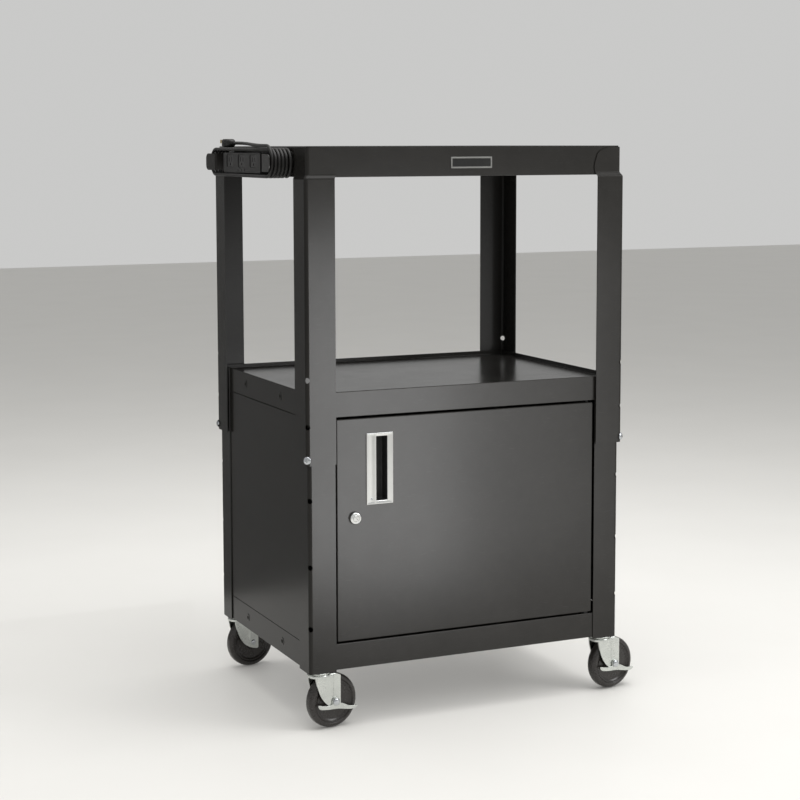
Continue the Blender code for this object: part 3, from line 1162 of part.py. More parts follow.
def cord_points():
    """Return the cord's route in world space: lead-in, winding and lead to the plug."""
    radius = CORD_HEIGHT / 2
    middle = CORD_LOW + radius
    turn = CORD_HALF_LENGTH - radius
    exit_start = HOUSING_HALF + RELIEF_REACH + TOUCH_GAP
    bend_start = exit_start + CORD_DIAMETER
    reach = radius + CORD_LEAD_RADIUS
    drop_angle = acos((middle - EXIT_LEVEL + CORD_LEAD_RADIUS) / reach)
    first_turn = bend_start + reach * sin(drop_angle)

    route = [(exit_start, EXIT_LEVEL), (bend_start, EXIT_LEVEL)]
    for step in range(1, 4):
        angle = drop_angle * step / 4
        route.append((bend_start + CORD_LEAD_RADIUS * sin(angle),
                      EXIT_LEVEL - CORD_LEAD_RADIUS * (1 - cos(angle))))
    route += end_arc((first_turn, middle), radius, -drop_angle, 0.0, 4)
    lead_count = len(route)
    arc_count = CORD_END_ARC_POINTS
    run_count = (CORD_POINTS_PER_LOOP - 2 * arc_count) // 2
    for loop in range(CORD_LOOPS):
        centre = first_turn if loop == 0 else turn
        arc = end_arc((centre, middle), radius, 0.0, pi, arc_count)
        route += arc[1:] if loop == 0 else arc
        route += [(turn - 2 * turn * (step + 1) / (run_count + 1), CORD_HIGH) for step in range(run_count)]
        route += [(-along, level) for along, level in reversed(end_arc((turn, middle), radius, 0.0, pi, arc_count))]
        route += [(-turn + 2 * turn * (step + 1) / (run_count + 1), CORD_LOW) for step in range(run_count)]
    upper_level = CORD_HIGH + CORD_DIAMETER + CORD_LAYER_GAP
    last_radius = (upper_level - CORD_LOW) / 2
    last_turn = CORD_HALF_LENGTH - last_radius
    route += end_arc((last_turn, CORD_LOW + last_radius), last_radius, 0.0, pi, arc_count)
    wound_count = len(route)

    travelled = [0.0]
    for before, after in zip(route, route[1:]):
        travelled.append(travelled[-1] + sqrt((after[0] - before[0]) ** 2 + (after[1] - before[1]) ** 2))
    wind_start = travelled[lead_count - 1]
    wind_span = travelled[wound_count - 1] - wind_start
    last_share = (travelled[wound_count - 1] - travelled[wound_count - arc_count]) / wind_span
    shift_span = (wind_start - CORD_DIAMETER) * LEAD_SHIFT_SHARE
    points = []
    for (along, level), distance in zip(route, travelled):
        if distance <= wind_start:
            share = smooth_step((distance - CORD_DIAMETER) / shift_span)
            depth = EXIT_DEPTH + (CORD_FIRST - EXIT_DEPTH) * share
        else:
            share = (distance - wind_start) / wind_span / (1 - last_share)
            depth = CORD_FIRST + (CORD_LAST - CORD_FIRST) * share
        points.append((along, level, depth))

    plug_level = plug_centre_level()
    plug_entry = -PLUG_START + TOUCH_GAP
    last_depth = points[-1][2]
    cross_start, cross_end = last_turn, plug_entry + 2 * CORD_DIAMETER
    steps = 12
    for step in range(1, steps + 1):
        along = cross_start + (cross_end - cross_start) * step / steps
        share = smooth_step(step / steps)
        points.append((along, upper_level + (plug_level - upper_level) * share,
                       last_depth + (PLUG_CENTRE - last_depth) * share))
    points.append((plug_entry + CORD_DIAMETER, plug_level, PLUG_CENTRE))
    points.append((plug_entry, plug_level, PLUG_CENTRE))
    return [LEFT @ Vector(point) for point in points]


def least_gap(points):
    """Return the least gap between the cord's surface and itself, away from its neighbours."""
    samples, lengths = [], []
    total = 0.0
    for before, after in zip(points, points[1:]):
        span = (after - before).length
        count = max(int(span / (CORD_RADIUS / 2)), 1)
        for step in range(count):
            samples.append(before.lerp(after, step / count))
            lengths.append(total + span * step / count)
        total += span
    places = np.array([tuple(sample) for sample in samples])
    along = np.array(lengths)
    least = np.inf
    for index in range(len(places)):
        far = along > along[index] + 4 * CORD_DIAMETER
        if far.any():
            least = min(least, np.sqrt(((places[far] - places[index]) ** 2).sum(axis=1)).min())
    return least - CORD_DIAMETER, total


def build_cord(material, upper):
    """Make the wound cord as one unbroken tube."""
    points = cord_points()
    gap, length = least_gap(points)
    print("cord winding: least gap to itself %.2f mm, length %.3f m" % (gap * 1000, length))
    curve = bpy.data.curves.new("power_cord", "CURVE")
    curve.dimensions = "3D"
    curve.bevel_depth = CORD_RADIUS
    curve.bevel_resolution = 1
    curve.use_fill_caps = True
    spline = curve.splines.new("POLY")
    spline.points.add(len(points) - len(spline.points))
    for target, point in zip(spline.points, points):
        target.co = (*point, 1)
    curve.materials.append(material)
    obj = bpy.data.objects.new("power_cord", curve)
    obj.parent = upper
    bpy.context.scene.collection.objects.link(obj)


# Plug
def plug_centre_level():
    """Return the level of the plug's middle, resting on the winding."""
    return CORD_HIGH + CORD_RADIUS + TOUCH_GAP + PLUG_HEIGHT / 2


def plug_place():
    """Return the plug's frame, with its third axis pointing to the back."""
    side = Matrix(((-1, 0, 0, -HALF_WIDTH), (0, 0, 1, 0), (0, 1, 0, 0), (0, 0, 0, 1)))
    return side @ Matrix.Translation((PLUG_CENTRE, plug_centre_level(), 0))


def build_plug(plastic, metal, upper):
    """Make the moulded plug: tapered relief and body, with two blades and an earth pin."""
    place = plug_place()
    half_x, half_y = PLUG_WIDTH / 2, PLUG_HEIGHT / 2
    neck = CORD_RADIUS + TOUCH_GAP * 2
    body_start = PLUG_START + PLUG_RELIEF
    end = PLUG_START + PLUG_LENGTH
    steps = PLUG_CORNER_STEPS
    levels = ((neck, neck, neck * 0.95, PLUG_START), (neck * 1.2, neck * 1.2, neck, body_start - PLUG_RELIEF / 4),
              (half_x * 0.85, half_y * 0.85, PLUG_CORNER, body_start), (half_x, half_y, PLUG_CORNER, body_start
               + PLUG_RELIEF / 3), (half_x, half_y, PLUG_CORNER, end - PLUG_CORNER / 4),
              (half_x * 0.95, half_y * 0.95, PLUG_CORNER, end))
    rings = [rectangle(wide, high, corner, depth, steps=steps) for wide, high, corner, depth in levels]
    root, tip = end - BLADE_ROOT, end + BLADE_REACH
    gap = TOUCH_GAP
    half_x, half_y = BLADE_THICKNESS / 2, BLADE_HEIGHT / 2
    tools = []
    for name, sign in (("inner", -1), ("outer", 1)):
        across = sign * BLADE_SPACING / 2
        low = Vector((across - half_x, BLADE_LIFT - half_y, root))
        high = Vector((across + half_x, BLADE_LIFT + half_y, tip))
        add_piece("plug_blade_" + name, box(low, high, place), metal, upper)
        tools.append(box(low - Vector((gap, gap, gap)), high + Vector((gap, gap, gap)), place))
    pin = EARTH_PIN_DIAMETER / 2
    pin_place = place @ Matrix.Translation((0, -EARTH_PIN_DROP, 0))
    profile = ((0, root), (pin, root), (pin, tip), (pin * 0.6, tip + pin), (0, tip + pin))
    add_piece("plug_earth_pin", turned(profile, pin_place), metal, upper)
    tools.append(rod(pin + gap, root - gap, tip, pin_place))
    add_piece("power_plug", combined(loft(rings, place), tools), plastic, upper)


def build_power_unit(coat, zinc, plastic, cord, metal, upper):
    """Make the bracket, housing, receptacles, strain relief, cord and plug."""
    add_piece("winding_bracket", bracket_mesh(), coat, upper)
    for name, sign in (("front", 1), ("back", -1)):
        add_piece("bracket_rivet_" + name, rivet_mesh(sign), zinc, upper)
    add_piece("power_housing", housing_mesh(), plastic, upper)
    add_piece("power_faceplate", faceplate_mesh(), plastic, upper)
    add_piece("receptacle_block", receptacle_mesh(), plastic, upper)
    add_piece("strain_relief", relief_mesh(), plastic, upper)
    build_cord(cord, upper)
    build_plug(plastic, metal, upper)


def main():
    """Build the whole cart."""
    clear_scene()
    coat = make_material("black_powder_coat", POWDER_COAT)
    zinc = make_material("zinc_plate", ZINC)
    chrome = make_material("chrome_plate", CHROME)
    black = make_material("pull_black", PULL_BLACK)
    plastic = make_material("dark_plastic", DARK_PLASTIC)
    upper = add_axis("upper_frame_slide", (0, 0, 0))
    build_shelves(coat, upper)
    build_legs(coat, zinc, upper)
    build_panels(coat)
    build_door(coat, zinc, chrome, black)
    build_casters(zinc, make_material("wheel_rubber", WHEEL_RUBBER))
    add_piece("nameplate", nameplate_mesh(), make_material("plate_metal", PLATE_METAL), upper)
    build_power_unit(coat, zinc, plastic, make_material("cord_jacket", CORD_JACKET),
                     make_material("blade_metal", BLADE_METAL), upper)


main()
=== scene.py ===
"""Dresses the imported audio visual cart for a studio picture: finer shapes, finishes, light and camera.

Metres, +Z up, +Y to the back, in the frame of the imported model.
"""
import logging
from dataclasses import dataclass
from enum import Enum
from math import acos, atan2, cos, pi, radians, sin, sqrt
from typing import Callable, Iterable, Sequence

import bmesh
import bpy
from bpy.types import ID, Material, Mesh, Node, NodeSocket, NodeTree, Object
from mathutils import Matrix, Vector


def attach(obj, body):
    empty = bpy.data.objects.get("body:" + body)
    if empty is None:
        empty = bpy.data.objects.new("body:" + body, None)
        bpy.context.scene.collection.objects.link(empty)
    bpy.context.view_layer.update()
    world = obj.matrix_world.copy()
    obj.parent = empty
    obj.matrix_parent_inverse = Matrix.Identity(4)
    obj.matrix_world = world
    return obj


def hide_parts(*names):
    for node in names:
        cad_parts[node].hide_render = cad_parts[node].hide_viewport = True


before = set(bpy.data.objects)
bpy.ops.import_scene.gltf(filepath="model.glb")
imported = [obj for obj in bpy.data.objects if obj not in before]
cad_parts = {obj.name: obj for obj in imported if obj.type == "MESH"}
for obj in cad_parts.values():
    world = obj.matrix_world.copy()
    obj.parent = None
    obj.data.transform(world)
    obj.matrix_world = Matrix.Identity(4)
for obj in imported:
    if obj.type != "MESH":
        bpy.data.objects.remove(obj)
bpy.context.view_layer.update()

LOG = logging.getLogger("cart")
Pair = tuple[float, float]
Triple = tuple[float, float, float]
Ring = list[Triple]
IDENTITY = Matrix.Identity(4)

# Lengths that several pieces share
GAP = 0.0003
HALF_WIDTH = 0.3048
HALF_DEPTH = 0.2286
SIDE_HOLE_HALF = 0.0910
LOCK_CENTRE = (-0.2204, 0.3730)
EXIT_LEVEL = 0.9733
EXIT_DEPTH = 0.0077
PLUG_START = 0.1000
PLUG_CENTRE = 0.0130
THREAD_STEP = 0.0006
PANEL_EDGE = 0.0004
MERGE = 0.00001
# How far a cutter passes a surface
PAST = 0.002

# Frames: the third axis to the front, the last two axes swapped, and on the shelf's front and left sides
TIP_FORWARD = Matrix(((1, 0, 0, 0), (0, 0, -1, 0), (0, 1, 0, 0), (0, 0, 0, 1)))
SWAP_LAST = Matrix(((1, 0, 0, 0), (0, 0, 1, 0), (0, 1, 0, 0), (0, 0, 0, 1)))
FRONT = Matrix.Translation((0, -HALF_DEPTH, 0)) @ TIP_FORWARD
LEFT = Matrix(((0, 0, -1, -HALF_WIDTH), (-1, 0, 0, 0), (0, 1, 0, 0), (0, 0, 0, 1)))


class Body(Enum):
    """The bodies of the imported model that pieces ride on."""

    LOWER = "lower_frame"
    UPPER = "upper_frame"
    DOOR = "door"
    LOCK = "lock_core"


class Corner(Enum):
    """The cart's corners, with their signs across and along."""

    FRONT_LEFT = (-1, -1)
    FRONT_RIGHT = (1, -1)
    BACK_LEFT = (-1, 1)
    BACK_RIGHT = (1, 1)

    @property
    def label(self) -> str:
        """Return the corner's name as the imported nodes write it."""
        return self.name.lower()


class Cut(Enum):
    """How one solid meets another."""

    AWAY = "DIFFERENCE"
    WITH = "UNION"
    WITHIN = "INTERSECT"


# Meshes
def mesh_from(bm: bmesh.types.BMesh) -> Mesh:
    """Turn a bmesh into a mesh whose faces point outwards.

    Args:
        bm: The bmesh, which is freed.

    Returns:
        The new mesh.
    """
    bmesh.ops.recalc_face_normals(bm, faces=bm.faces)
    mesh = bpy.data.meshes.new("shape")
    bm.to_mesh(mesh)
    bm.free()
    return mesh


def loft(rings: Sequence[Ring], place: Matrix = IDENTITY, closed: bool = False) -> Mesh:
    """Join rings of equal length into one solid.

    Args:
        rings: The rings, in order.
        place: The frame that the rings are given in.
        closed: Whether the last ring joins the first instead of both being capped.

    Returns:
        The solid's mesh.
    """
    bm = bmesh.new()
    loops = [[bm.verts.new(place @ Vector(point)) for point in ring] for ring in rings]
    pairs = list(zip(loops, loops[1:]))
    if closed:
        pairs.append((loops[-1], loops[0]))
    for low, high in pairs:
        for index, corner in enumerate(low):
            after = (index + 1) % len(low)
            bm.faces.new((corner, low[after], high[after], high[index]))
    if not closed:
        bm.faces.new(loops[0])
        bm.faces.new(loops[-1])
    return mesh_from(bm)


def prism(outline: Iterable[Pair], low: float, high: float, place: Matrix = IDENTITY) -> Mesh:
    """Extrude a flat outline, given in a frame, from one depth to another."""
    points = list(outline)
    return loft([[(x, y, depth) for x, y in points] for depth in (low, high)], place)


def hexagon(radius: float) -> list[Pair]:
    """Return the outline of a nut from the radius of its corners."""
    return [(radius * cos(side * pi / 3), radius * sin(side * pi / 3)) for side in range(6)]


def eased(share: float) -> float:
    """Return a share between zero and one, eased at both ends."""
    share = min(max(share, 0.0), 1.0)
    return share * share * (3 - 2 * share)


def quarter(radius: float, steps: int) -> list[Pair]:
    """Return the insets and depths that round an edge off, from its side to its top."""
    turns = [step * pi / 2 / steps for step in range(steps + 1)]
    return [(radius * (1 - cos(turn)), radius * (1 - sin(turn))) for turn in turns]


def dome(radius: float, low: float, swell: float, steps: int) -> list[Pair]:
    """Return the profile of a dome, from its rim to its middle."""
    turns = [step * pi / 2 / steps for step in range(steps)]
    return [(radius * cos(turn), low + swell * sin(turn)) for turn in turns] + [(0, low + swell)]


def thread(first: float, second: float, start: float, count: int, step: float = THREAD_STEP) -> list[Pair]:
    """Return the profile of a thread that goes to and fro between two radii."""
    return [(first if index % 2 == 0 else second, start + index * step) for index in range(2 * count)]


def turned(profile: Sequence[Pair], place: Matrix = IDENTITY, steps: int = 48, closed: bool = False) -> Mesh:
    """Turn a profile about a frame's third axis.

    Args:
        profile: Points of (radius, height).
        place: The frame of the axis.
        steps: The number of steps round the axis.
        closed: Whether the profile closes on itself, as a ring's does.

    Returns:
        The solid's mesh.
    """
    bm = bmesh.new()
    loops = []
    for radius, height in profile:
        if radius == 0:
            loops.append([bm.verts.new(place @ Vector((0, 0, height)))])
            continue
        loops.append([bm.verts.new(place @ Vector((radius * cos(2 * pi * (step + 0.5) / steps),
                                                   radius * sin(2 * pi * (step + 0.5) / steps), height)))
                      for step in range(steps)])
    pairs = list(zip(loops, loops[1:]))
    if closed:
        pairs.append((loops[-1], loops[0]))
    for low, high in pairs:
        for step in range(steps):
            after = (step + 1) % steps
            corners = []
            for loop, index in ((low, step), (low, after), (high, after), (high, step)):
                vertex = loop[index % len(loop)]
                if vertex not in corners:
                    corners.append(vertex)
            bm.faces.new(corners)
    return mesh_from(bm)


def rounded(points: Sequence[Pair], radius: float, steps: int = 4) -> list[Pair]:
    """Round the corners of an open chain of points.

    Args:
        points: The chain's corners.
        radius: The most that a corner is cut back along its sides.
        steps: The number of steps round each corner.

    Returns:
        The chain with round corners, its ends kept.
    """
    chain = [points[0]]
    for before, corner, after in zip(points, points[1:], points[2:]):
        middle, start, end = Vector(corner), Vector(before), Vector(after)
        reach = min(radius, (start - middle).length * 0.45, (end - middle).length * 0.45)
        one = middle + (start - middle).normalized() * reach
        two = middle + (end - middle).normalized() * reach
        for step in range(steps + 1):
            share = step / steps
            chain.append(tuple(one * (1 - share) ** 2 + middle * 2 * share * (1 - share) + two * share ** 2))
    return chain + [points[-1]]


def flowing(points: Sequence[Pair], steps: int = 4) -> list[Pair]:
    """Return a smooth closed outline through some points.

    Args:
        points: The points, in order.
        steps: The number of steps between two of them.

    Returns:
        The outline's points.
    """
    curve = []
    for index in range(len(points)):
        before, start, end, after = (Vector(points[(index + shift) % len(points)]) for shift in (-1, 0, 1, 2))
        for step in range(steps):
            share = step / steps
            curve.append(tuple((start * 2 + (end - before) * share
                                + (before * 2 - start * 5 + end * 4 - after) * share ** 2
                                + (start * 3 - before - end * 3 + after) * share ** 3) * 0.5))
    return curve


def strip(points: Sequence[Pair], sheet: float) -> list[Pair]:
    """Return the outline of a bent strip about its open centre line.

    Args:
        points: The centre line.
        sheet: The strip's thickness.

    Returns:
        The outline's points.
    """
    one, other = [], []
    for index, point in enumerate(points):
        before, after = points[max(index - 1, 0)], points[min(index + 1, len(points) - 1)]
        along = (Vector(after) - Vector(before)).normalized()
        across = Vector((-along.y, along.x)) * sheet / 2
        one.append(tuple(Vector(point) + across))
        other.append(tuple(Vector(point) - across))
    return one + other[::-1]


def rectangle(half_x: float, half_y: float, radius: float, height: float, centre: Pair = (0, 0),
              steps: int = 8) -> Ring:
    """Return one ring of a rectangle with round corners.

    Args:
        half_x: Half its width.
        half_y: Half its height.
        radius: The radius of its corners.
        height: The level of the ring.
        centre: The middle of the rectangle.
        steps: The number of steps round each corner.

    Returns:
        The ring's points.
    """
    ring = []
    for corner, (sign_x, sign_y) in enumerate(((1, 1), (-1, 1), (-1, -1), (1, -1))):
        for step in range(steps + 1):
            angle = (corner + step / steps) * pi / 2
            ring.append((centre[0] + sign_x * (half_x - radius) + radius * cos(angle),
                         centre[1] + sign_y * (half_y - radius) + radius * sin(angle), height))
    return ring


def stacked(levels: Iterable[Pair], half: Pair, corner: float, centre: Pair = (0, 0), steps: int = 8,
            least: float = 0.0) -> list[Ring]:
    """Return the rings of a solid with a rectangular plan.

    Args:
        levels: Pairs of how far a ring lies inside the plan and its height.
        half: Half the plan's width and height.
        corner: The radius of the plan's corners.
        centre: The middle of the plan.
        steps: The number of steps round each corner.
        least: The least radius of a ring's corners.

    Returns:
        The rings.
    """
    return [rectangle(half[0] - inset, half[1] - inset, max(corner - inset, least), height, centre, steps)
            for inset, height in levels]


def box(low: Sequence[float], high: Sequence[float], place: Matrix = IDENTITY) -> Mesh:
    """Return a plain box, given by its lowest and highest corners, used as a cutter."""
    outline = ((low[0], low[1]), (high[0], low[1]), (high[0], high[1]), (low[0], high[1]))
    return prism(outline, low[2], high[2], place)


def rod(radius: float, low: float, high: float, place: Matrix = IDENTITY, steps: int = 28) -> Mesh:
    """Return a plain rod along its frame's third axis, used as a cutter."""
    return turned(((0, low), (radius, low), (radius, high), (0, high)), place, steps)


def evaluated_mesh(obj: Object, helpers: Iterable[Object] = ()) -> Mesh:
    """Bake an object's modifiers into a plain mesh and remove the object.

    Args:
        obj: The object with live modifiers.
        helpers: Objects that the modifiers read, removed as well.

    Returns:
        The baked mesh.
    """
    bpy.context.view_layer.update()
    graph = bpy.context.evaluated_depsgraph_get()
    result = bpy.data.meshes.new_from_object(obj.evaluated_get(graph))
    for item in (obj, *helpers):
        bpy.data.objects.remove(item, do_unlink=True)
    return result


def linked(data: ID | None, name: str = "in_work") -> Object:
    """Make an object and link it to the scene, for good or for as long as its modifiers need it."""
    obj = bpy.data.objects.new(name, data)
    bpy.context.scene.collection.objects.link(obj)
    return obj


def combined(base: Mesh, tools: Iterable[Mesh], how: Cut = Cut.AWAY) -> Mesh:
    """Cut a solid away from, join it with or keep it within other solids.

    Args:
        base: The solid.
        tools: The other solids.
        how: How they meet.

    Returns:
        The resulting mesh.
    """
    body = linked(base)
    helpers = []
    for tool in tools:
        helper = linked(tool)
        helpers.append(helper)
        modifier = body.modifiers.new("meet", "BOOLEAN")
        modifier.operation = how.value
        modifier.solver = "EXACT"
        modifier.object = helper
    return evaluated_mesh(body, helpers)


def softened(mesh: Mesh, width: float, segments: int = 2, angle: float = 28) -> Mesh:
    """Round a solid's edges a little, as pressed or moulded edges are.

    Args:
        mesh: The solid.
        width: How far an edge is cut back.
        segments: The number of steps across an edge.
        angle: The least turn, in degrees, that counts as an edge.

    Returns:
        The rounded mesh.
    """
    bm = bmesh.new()
    bm.from_mesh(mesh)
    bmesh.ops.remove_doubles(bm, verts=bm.verts, dist=MERGE)
    bmesh.ops.dissolve_limit(bm, angle_limit=radians(0.5), verts=bm.verts, edges=bm.edges)
    edges = [edge for edge in bm.edges if len(edge.link_faces) == 2 and edge.calc_face_angle(0) > radians(angle)]
    bmesh.ops.bevel(bm, geom=edges, offset=width, offset_type="OFFSET", segments=segments, profile=0.5,
                    affect="EDGES", clamp_overlap=True)
    return mesh_from(bm)


def joined(meshes: Iterable[Mesh]) -> Mesh:
    """Gather several meshes in one.

    Args:
        meshes: The meshes.

    Returns:
        One mesh that holds them all.
    """
    bm = bmesh.new()
    for mesh in meshes:
        bm.from_mesh(mesh)
    mesh = bpy.data.meshes.new("shape")
    bm.to_mesh(mesh)
    bm.free()
    return mesh


def moved(mesh: Mesh, place: Matrix) -> Mesh:
    """Return a copy of a mesh, moved by a matrix without mirroring."""
    copy = mesh.copy()
    copy.transform(place)
    return copy


def node_mesh(name: str) -> Mesh:
    """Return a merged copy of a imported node's mesh."""
    bm = bmesh.new()
    bm.from_mesh(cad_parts[name].data)
    bmesh.ops.remove_doubles(bm, verts=bm.verts, dist=MERGE)
    return mesh_from(bm)


# Node graphs
class Graph:
    """A node tree under construction, with short calls for nodes and links."""

    def __init__(self, tree: NodeTree) -> None:
        """Take a node tree to add to."""
        self.tree = tree

    def node(self, kind: str, inputs: dict | None = None, **settings: object) -> Node:
        """Add a node.

        Args:
            kind: The node's type name.
            inputs: Values or source sockets by input name or index.
            **settings: Properties of the node.

        Returns:
            The node.
        """
        node = self.tree.nodes.new(kind)
        for key, value in settings.items():
            setattr(node, key, value)
        self.feed(node, inputs or {})
        return node

    def feed(self, node: Node, inputs: dict) -> None:
        """Set or link a node's inputs.

        Args:
            node: The node.
            inputs: Values or source sockets by input name or index.
        """
        for key, value in inputs.items():
            if isinstance(value, NodeSocket):
                self.tree.links.new(value, node.inputs[key])
            else:
                node.inputs[key].default_value = value

    def noise(self, place: object, scale: object, detail: float, rough: float = 0.5) -> NodeSocket:
        """Add a noise texture and return its value's socket."""
        return self.node("ShaderNodeTexNoise", {"Vector": place, "Scale": scale, "Detail": detail,
                                                "Roughness": rough}).outputs[0]

    def bump(self, height: object, depth: float, **inputs: object) -> NodeSocket:
        """Add a bump of a height and return its normal's socket."""
        return self.node("ShaderNodeBump", {"Strength": 1.0, "Distance": depth, "Height": height, **inputs}).outputs[0]

    def maths(self, operation: str, first: object, second: object = 0.0, clamp: bool = False) -> NodeSocket:
        """Add a Math node and return its result's socket."""
        return self.node("ShaderNodeMath", {0: first, 1: second}, operation=operation, use_clamp=clamp).outputs[0]

    def ramp(self, value: NodeSocket, low: float, high: float, start: float = 0.0, end: float = 1.0) -> NodeSocket:
        """Map a value from low..high to start..end, smoothly and clamped, and return the result's socket."""
        node = self.node("ShaderNodeMapRange", {"Value": value, "From Min": low, "From Max": high, "To Min": start,
                                                "To Max": end}, interpolation_type="SMOOTHSTEP")
        return node.outputs["Result"]

    def mix(self, share: object, first: object, second: object) -> NodeSocket:
        """Mix a share of the second colour into the first and return the result's socket."""
        node = self.node("ShaderNodeMix", {0: share, 6: first, 7: second}, data_type="RGBA")
        return node.outputs[2]


def new_material(name: str) -> tuple[Material, Graph, Node]:
    """Start a material and return it with its graph and its main shader."""
    material = bpy.data.materials.new(name)
    material.use_nodes = True
    return material, Graph(material.node_tree), material.node_tree.nodes["Principled BSDF"]


class Repeater:
    """Sets copies of one shape on many places with one Geometry Nodes tree."""

    def __init__(self) -> None:
        """Build the tree."""
        self.tree = bpy.data.node_groups.new("copies_on_points", "GeometryNodeTree")
        for label, kind in (("Points", "Geometry"), ("Part", "Object"), ("Finish", "Material"), ("Spread", "Float"),
                            ("Seed", "Int")):
            self.tree.interface.new_socket(label, in_out="INPUT", socket_type="NodeSocket" + kind)
        self.tree.interface.new_socket("Copies", in_out="OUTPUT", socket_type="NodeSocketGeometry")
        graph = Graph(self.tree)
        entry = graph.node("NodeGroupInput").outputs
        part = graph.node("GeometryNodeObjectInfo", {"Object": entry["Part"]}, transform_space="ORIGINAL")
        turns = graph.node("GeometryNodeInputNamedAttribute", {"Name": "turn"}, data_type="QUATERNION")
        turn = next(socket for socket in turns.outputs if socket.enabled and socket.name == "Attribute")
        low = graph.maths("MULTIPLY", entry["Spread"], -1.0)
        spin = graph.node("FunctionNodeRandomValue", {2: low, 3: entry["Spread"], "Seed": entry["Seed"]},
                          data_type="FLOAT").outputs[1]
        about = graph.node("FunctionNodeAxisAngleToRotation", {"Axis": (0, 0, 1), "Angle": spin}).outputs[0]
        rotation = graph.node("FunctionNodeRotateRotation", {"Rotation": turn, "Rotate By": about},
                              rotation_space="LOCAL").outputs[0]
        placed = graph.node("GeometryNodeInstanceOnPoints", {"Points": entry["Points"],
                                                             "Instance": part.outputs["Geometry"],
                                                             "Rotation": rotation}).outputs[0]
        real = graph.node("GeometryNodeRealizeInstances", {"Geometry": placed}).outputs[0]
        done = graph.node("GeometryNodeSetMaterial", {"Geometry": real, "Material": entry["Finish"]}).outputs[0]
        graph.node("NodeGroupOutput", {"Copies": done})

    def copies(self, part: Mesh, places: Sequence[Matrix], material: Material, spread: float = 0.0,
               seed: int = 0) -> Mesh:
        """Copy a shape to many places.

        Args:
            part: The shape, about its own origin.
            places: The copies' frames.
            material: The copies' material.
            spread: The most that a copy is spun about its third axis, in radians.
            seed: The seed of the spin.

        Returns:
            One mesh of all the copies.
        """
        points = bpy.data.meshes.new("places")
        points.from_pydata([place.translation for place in places], [], [])
        for value, place in zip(points.attributes.new("turn", "QUATERNION", "POINT").data, places):
            value.value = place.to_quaternion()
        shape, carrier = linked(part), linked(points)
        modifier = carrier.modifiers.new("copies", "NODES")
        modifier.node_group = self.tree
        values = {"Part": shape, "Finish": material, "Spread": spread, "Seed": seed}
        for item in self.tree.interface.items_tree:
            if item.name in values:
                modifier[item.identifier] = values[item.name]
        mesh = evaluated_mesh(carrier, [shape])
        if "turn" in mesh.attributes:
            mesh.attributes.remove(mesh.attributes["turn"])
        return mesh


def shader_group(name: str, inputs: dict[str, float | None], output: str) -> tuple[Graph, dict, Callable]:
    """Start a shader node group.

    Args:
        name: The group's name.
        inputs: Its inputs with their standing values; None makes a vector input.
        output: The name of its one value output.

    Returns:
        The graph, the input sockets by name, and the call that links the output.
    """
    tree = bpy.data.node_groups.new(name, "ShaderNodeTree")
    for label, value in inputs.items():
        kind = "NodeSocketVector" if value is None else "NodeSocketFloat"
        socket = tree.interface.new_socket(label, in_out="INPUT", socket_type=kind)
        if value is not None:
            socket.default_value = value
    tree.interface.new_socket(output, in_out="OUTPUT", socket_type="NodeSocketFloat")
    graph = Graph(tree)
    entry = graph.node("NodeGroupInput")
    leave = graph.node("NodeGroupOutput")
    sockets = {label: entry.outputs[label] for label in inputs}
    return graph, sockets, lambda source: tree.links.new(source, leave.inputs[output])


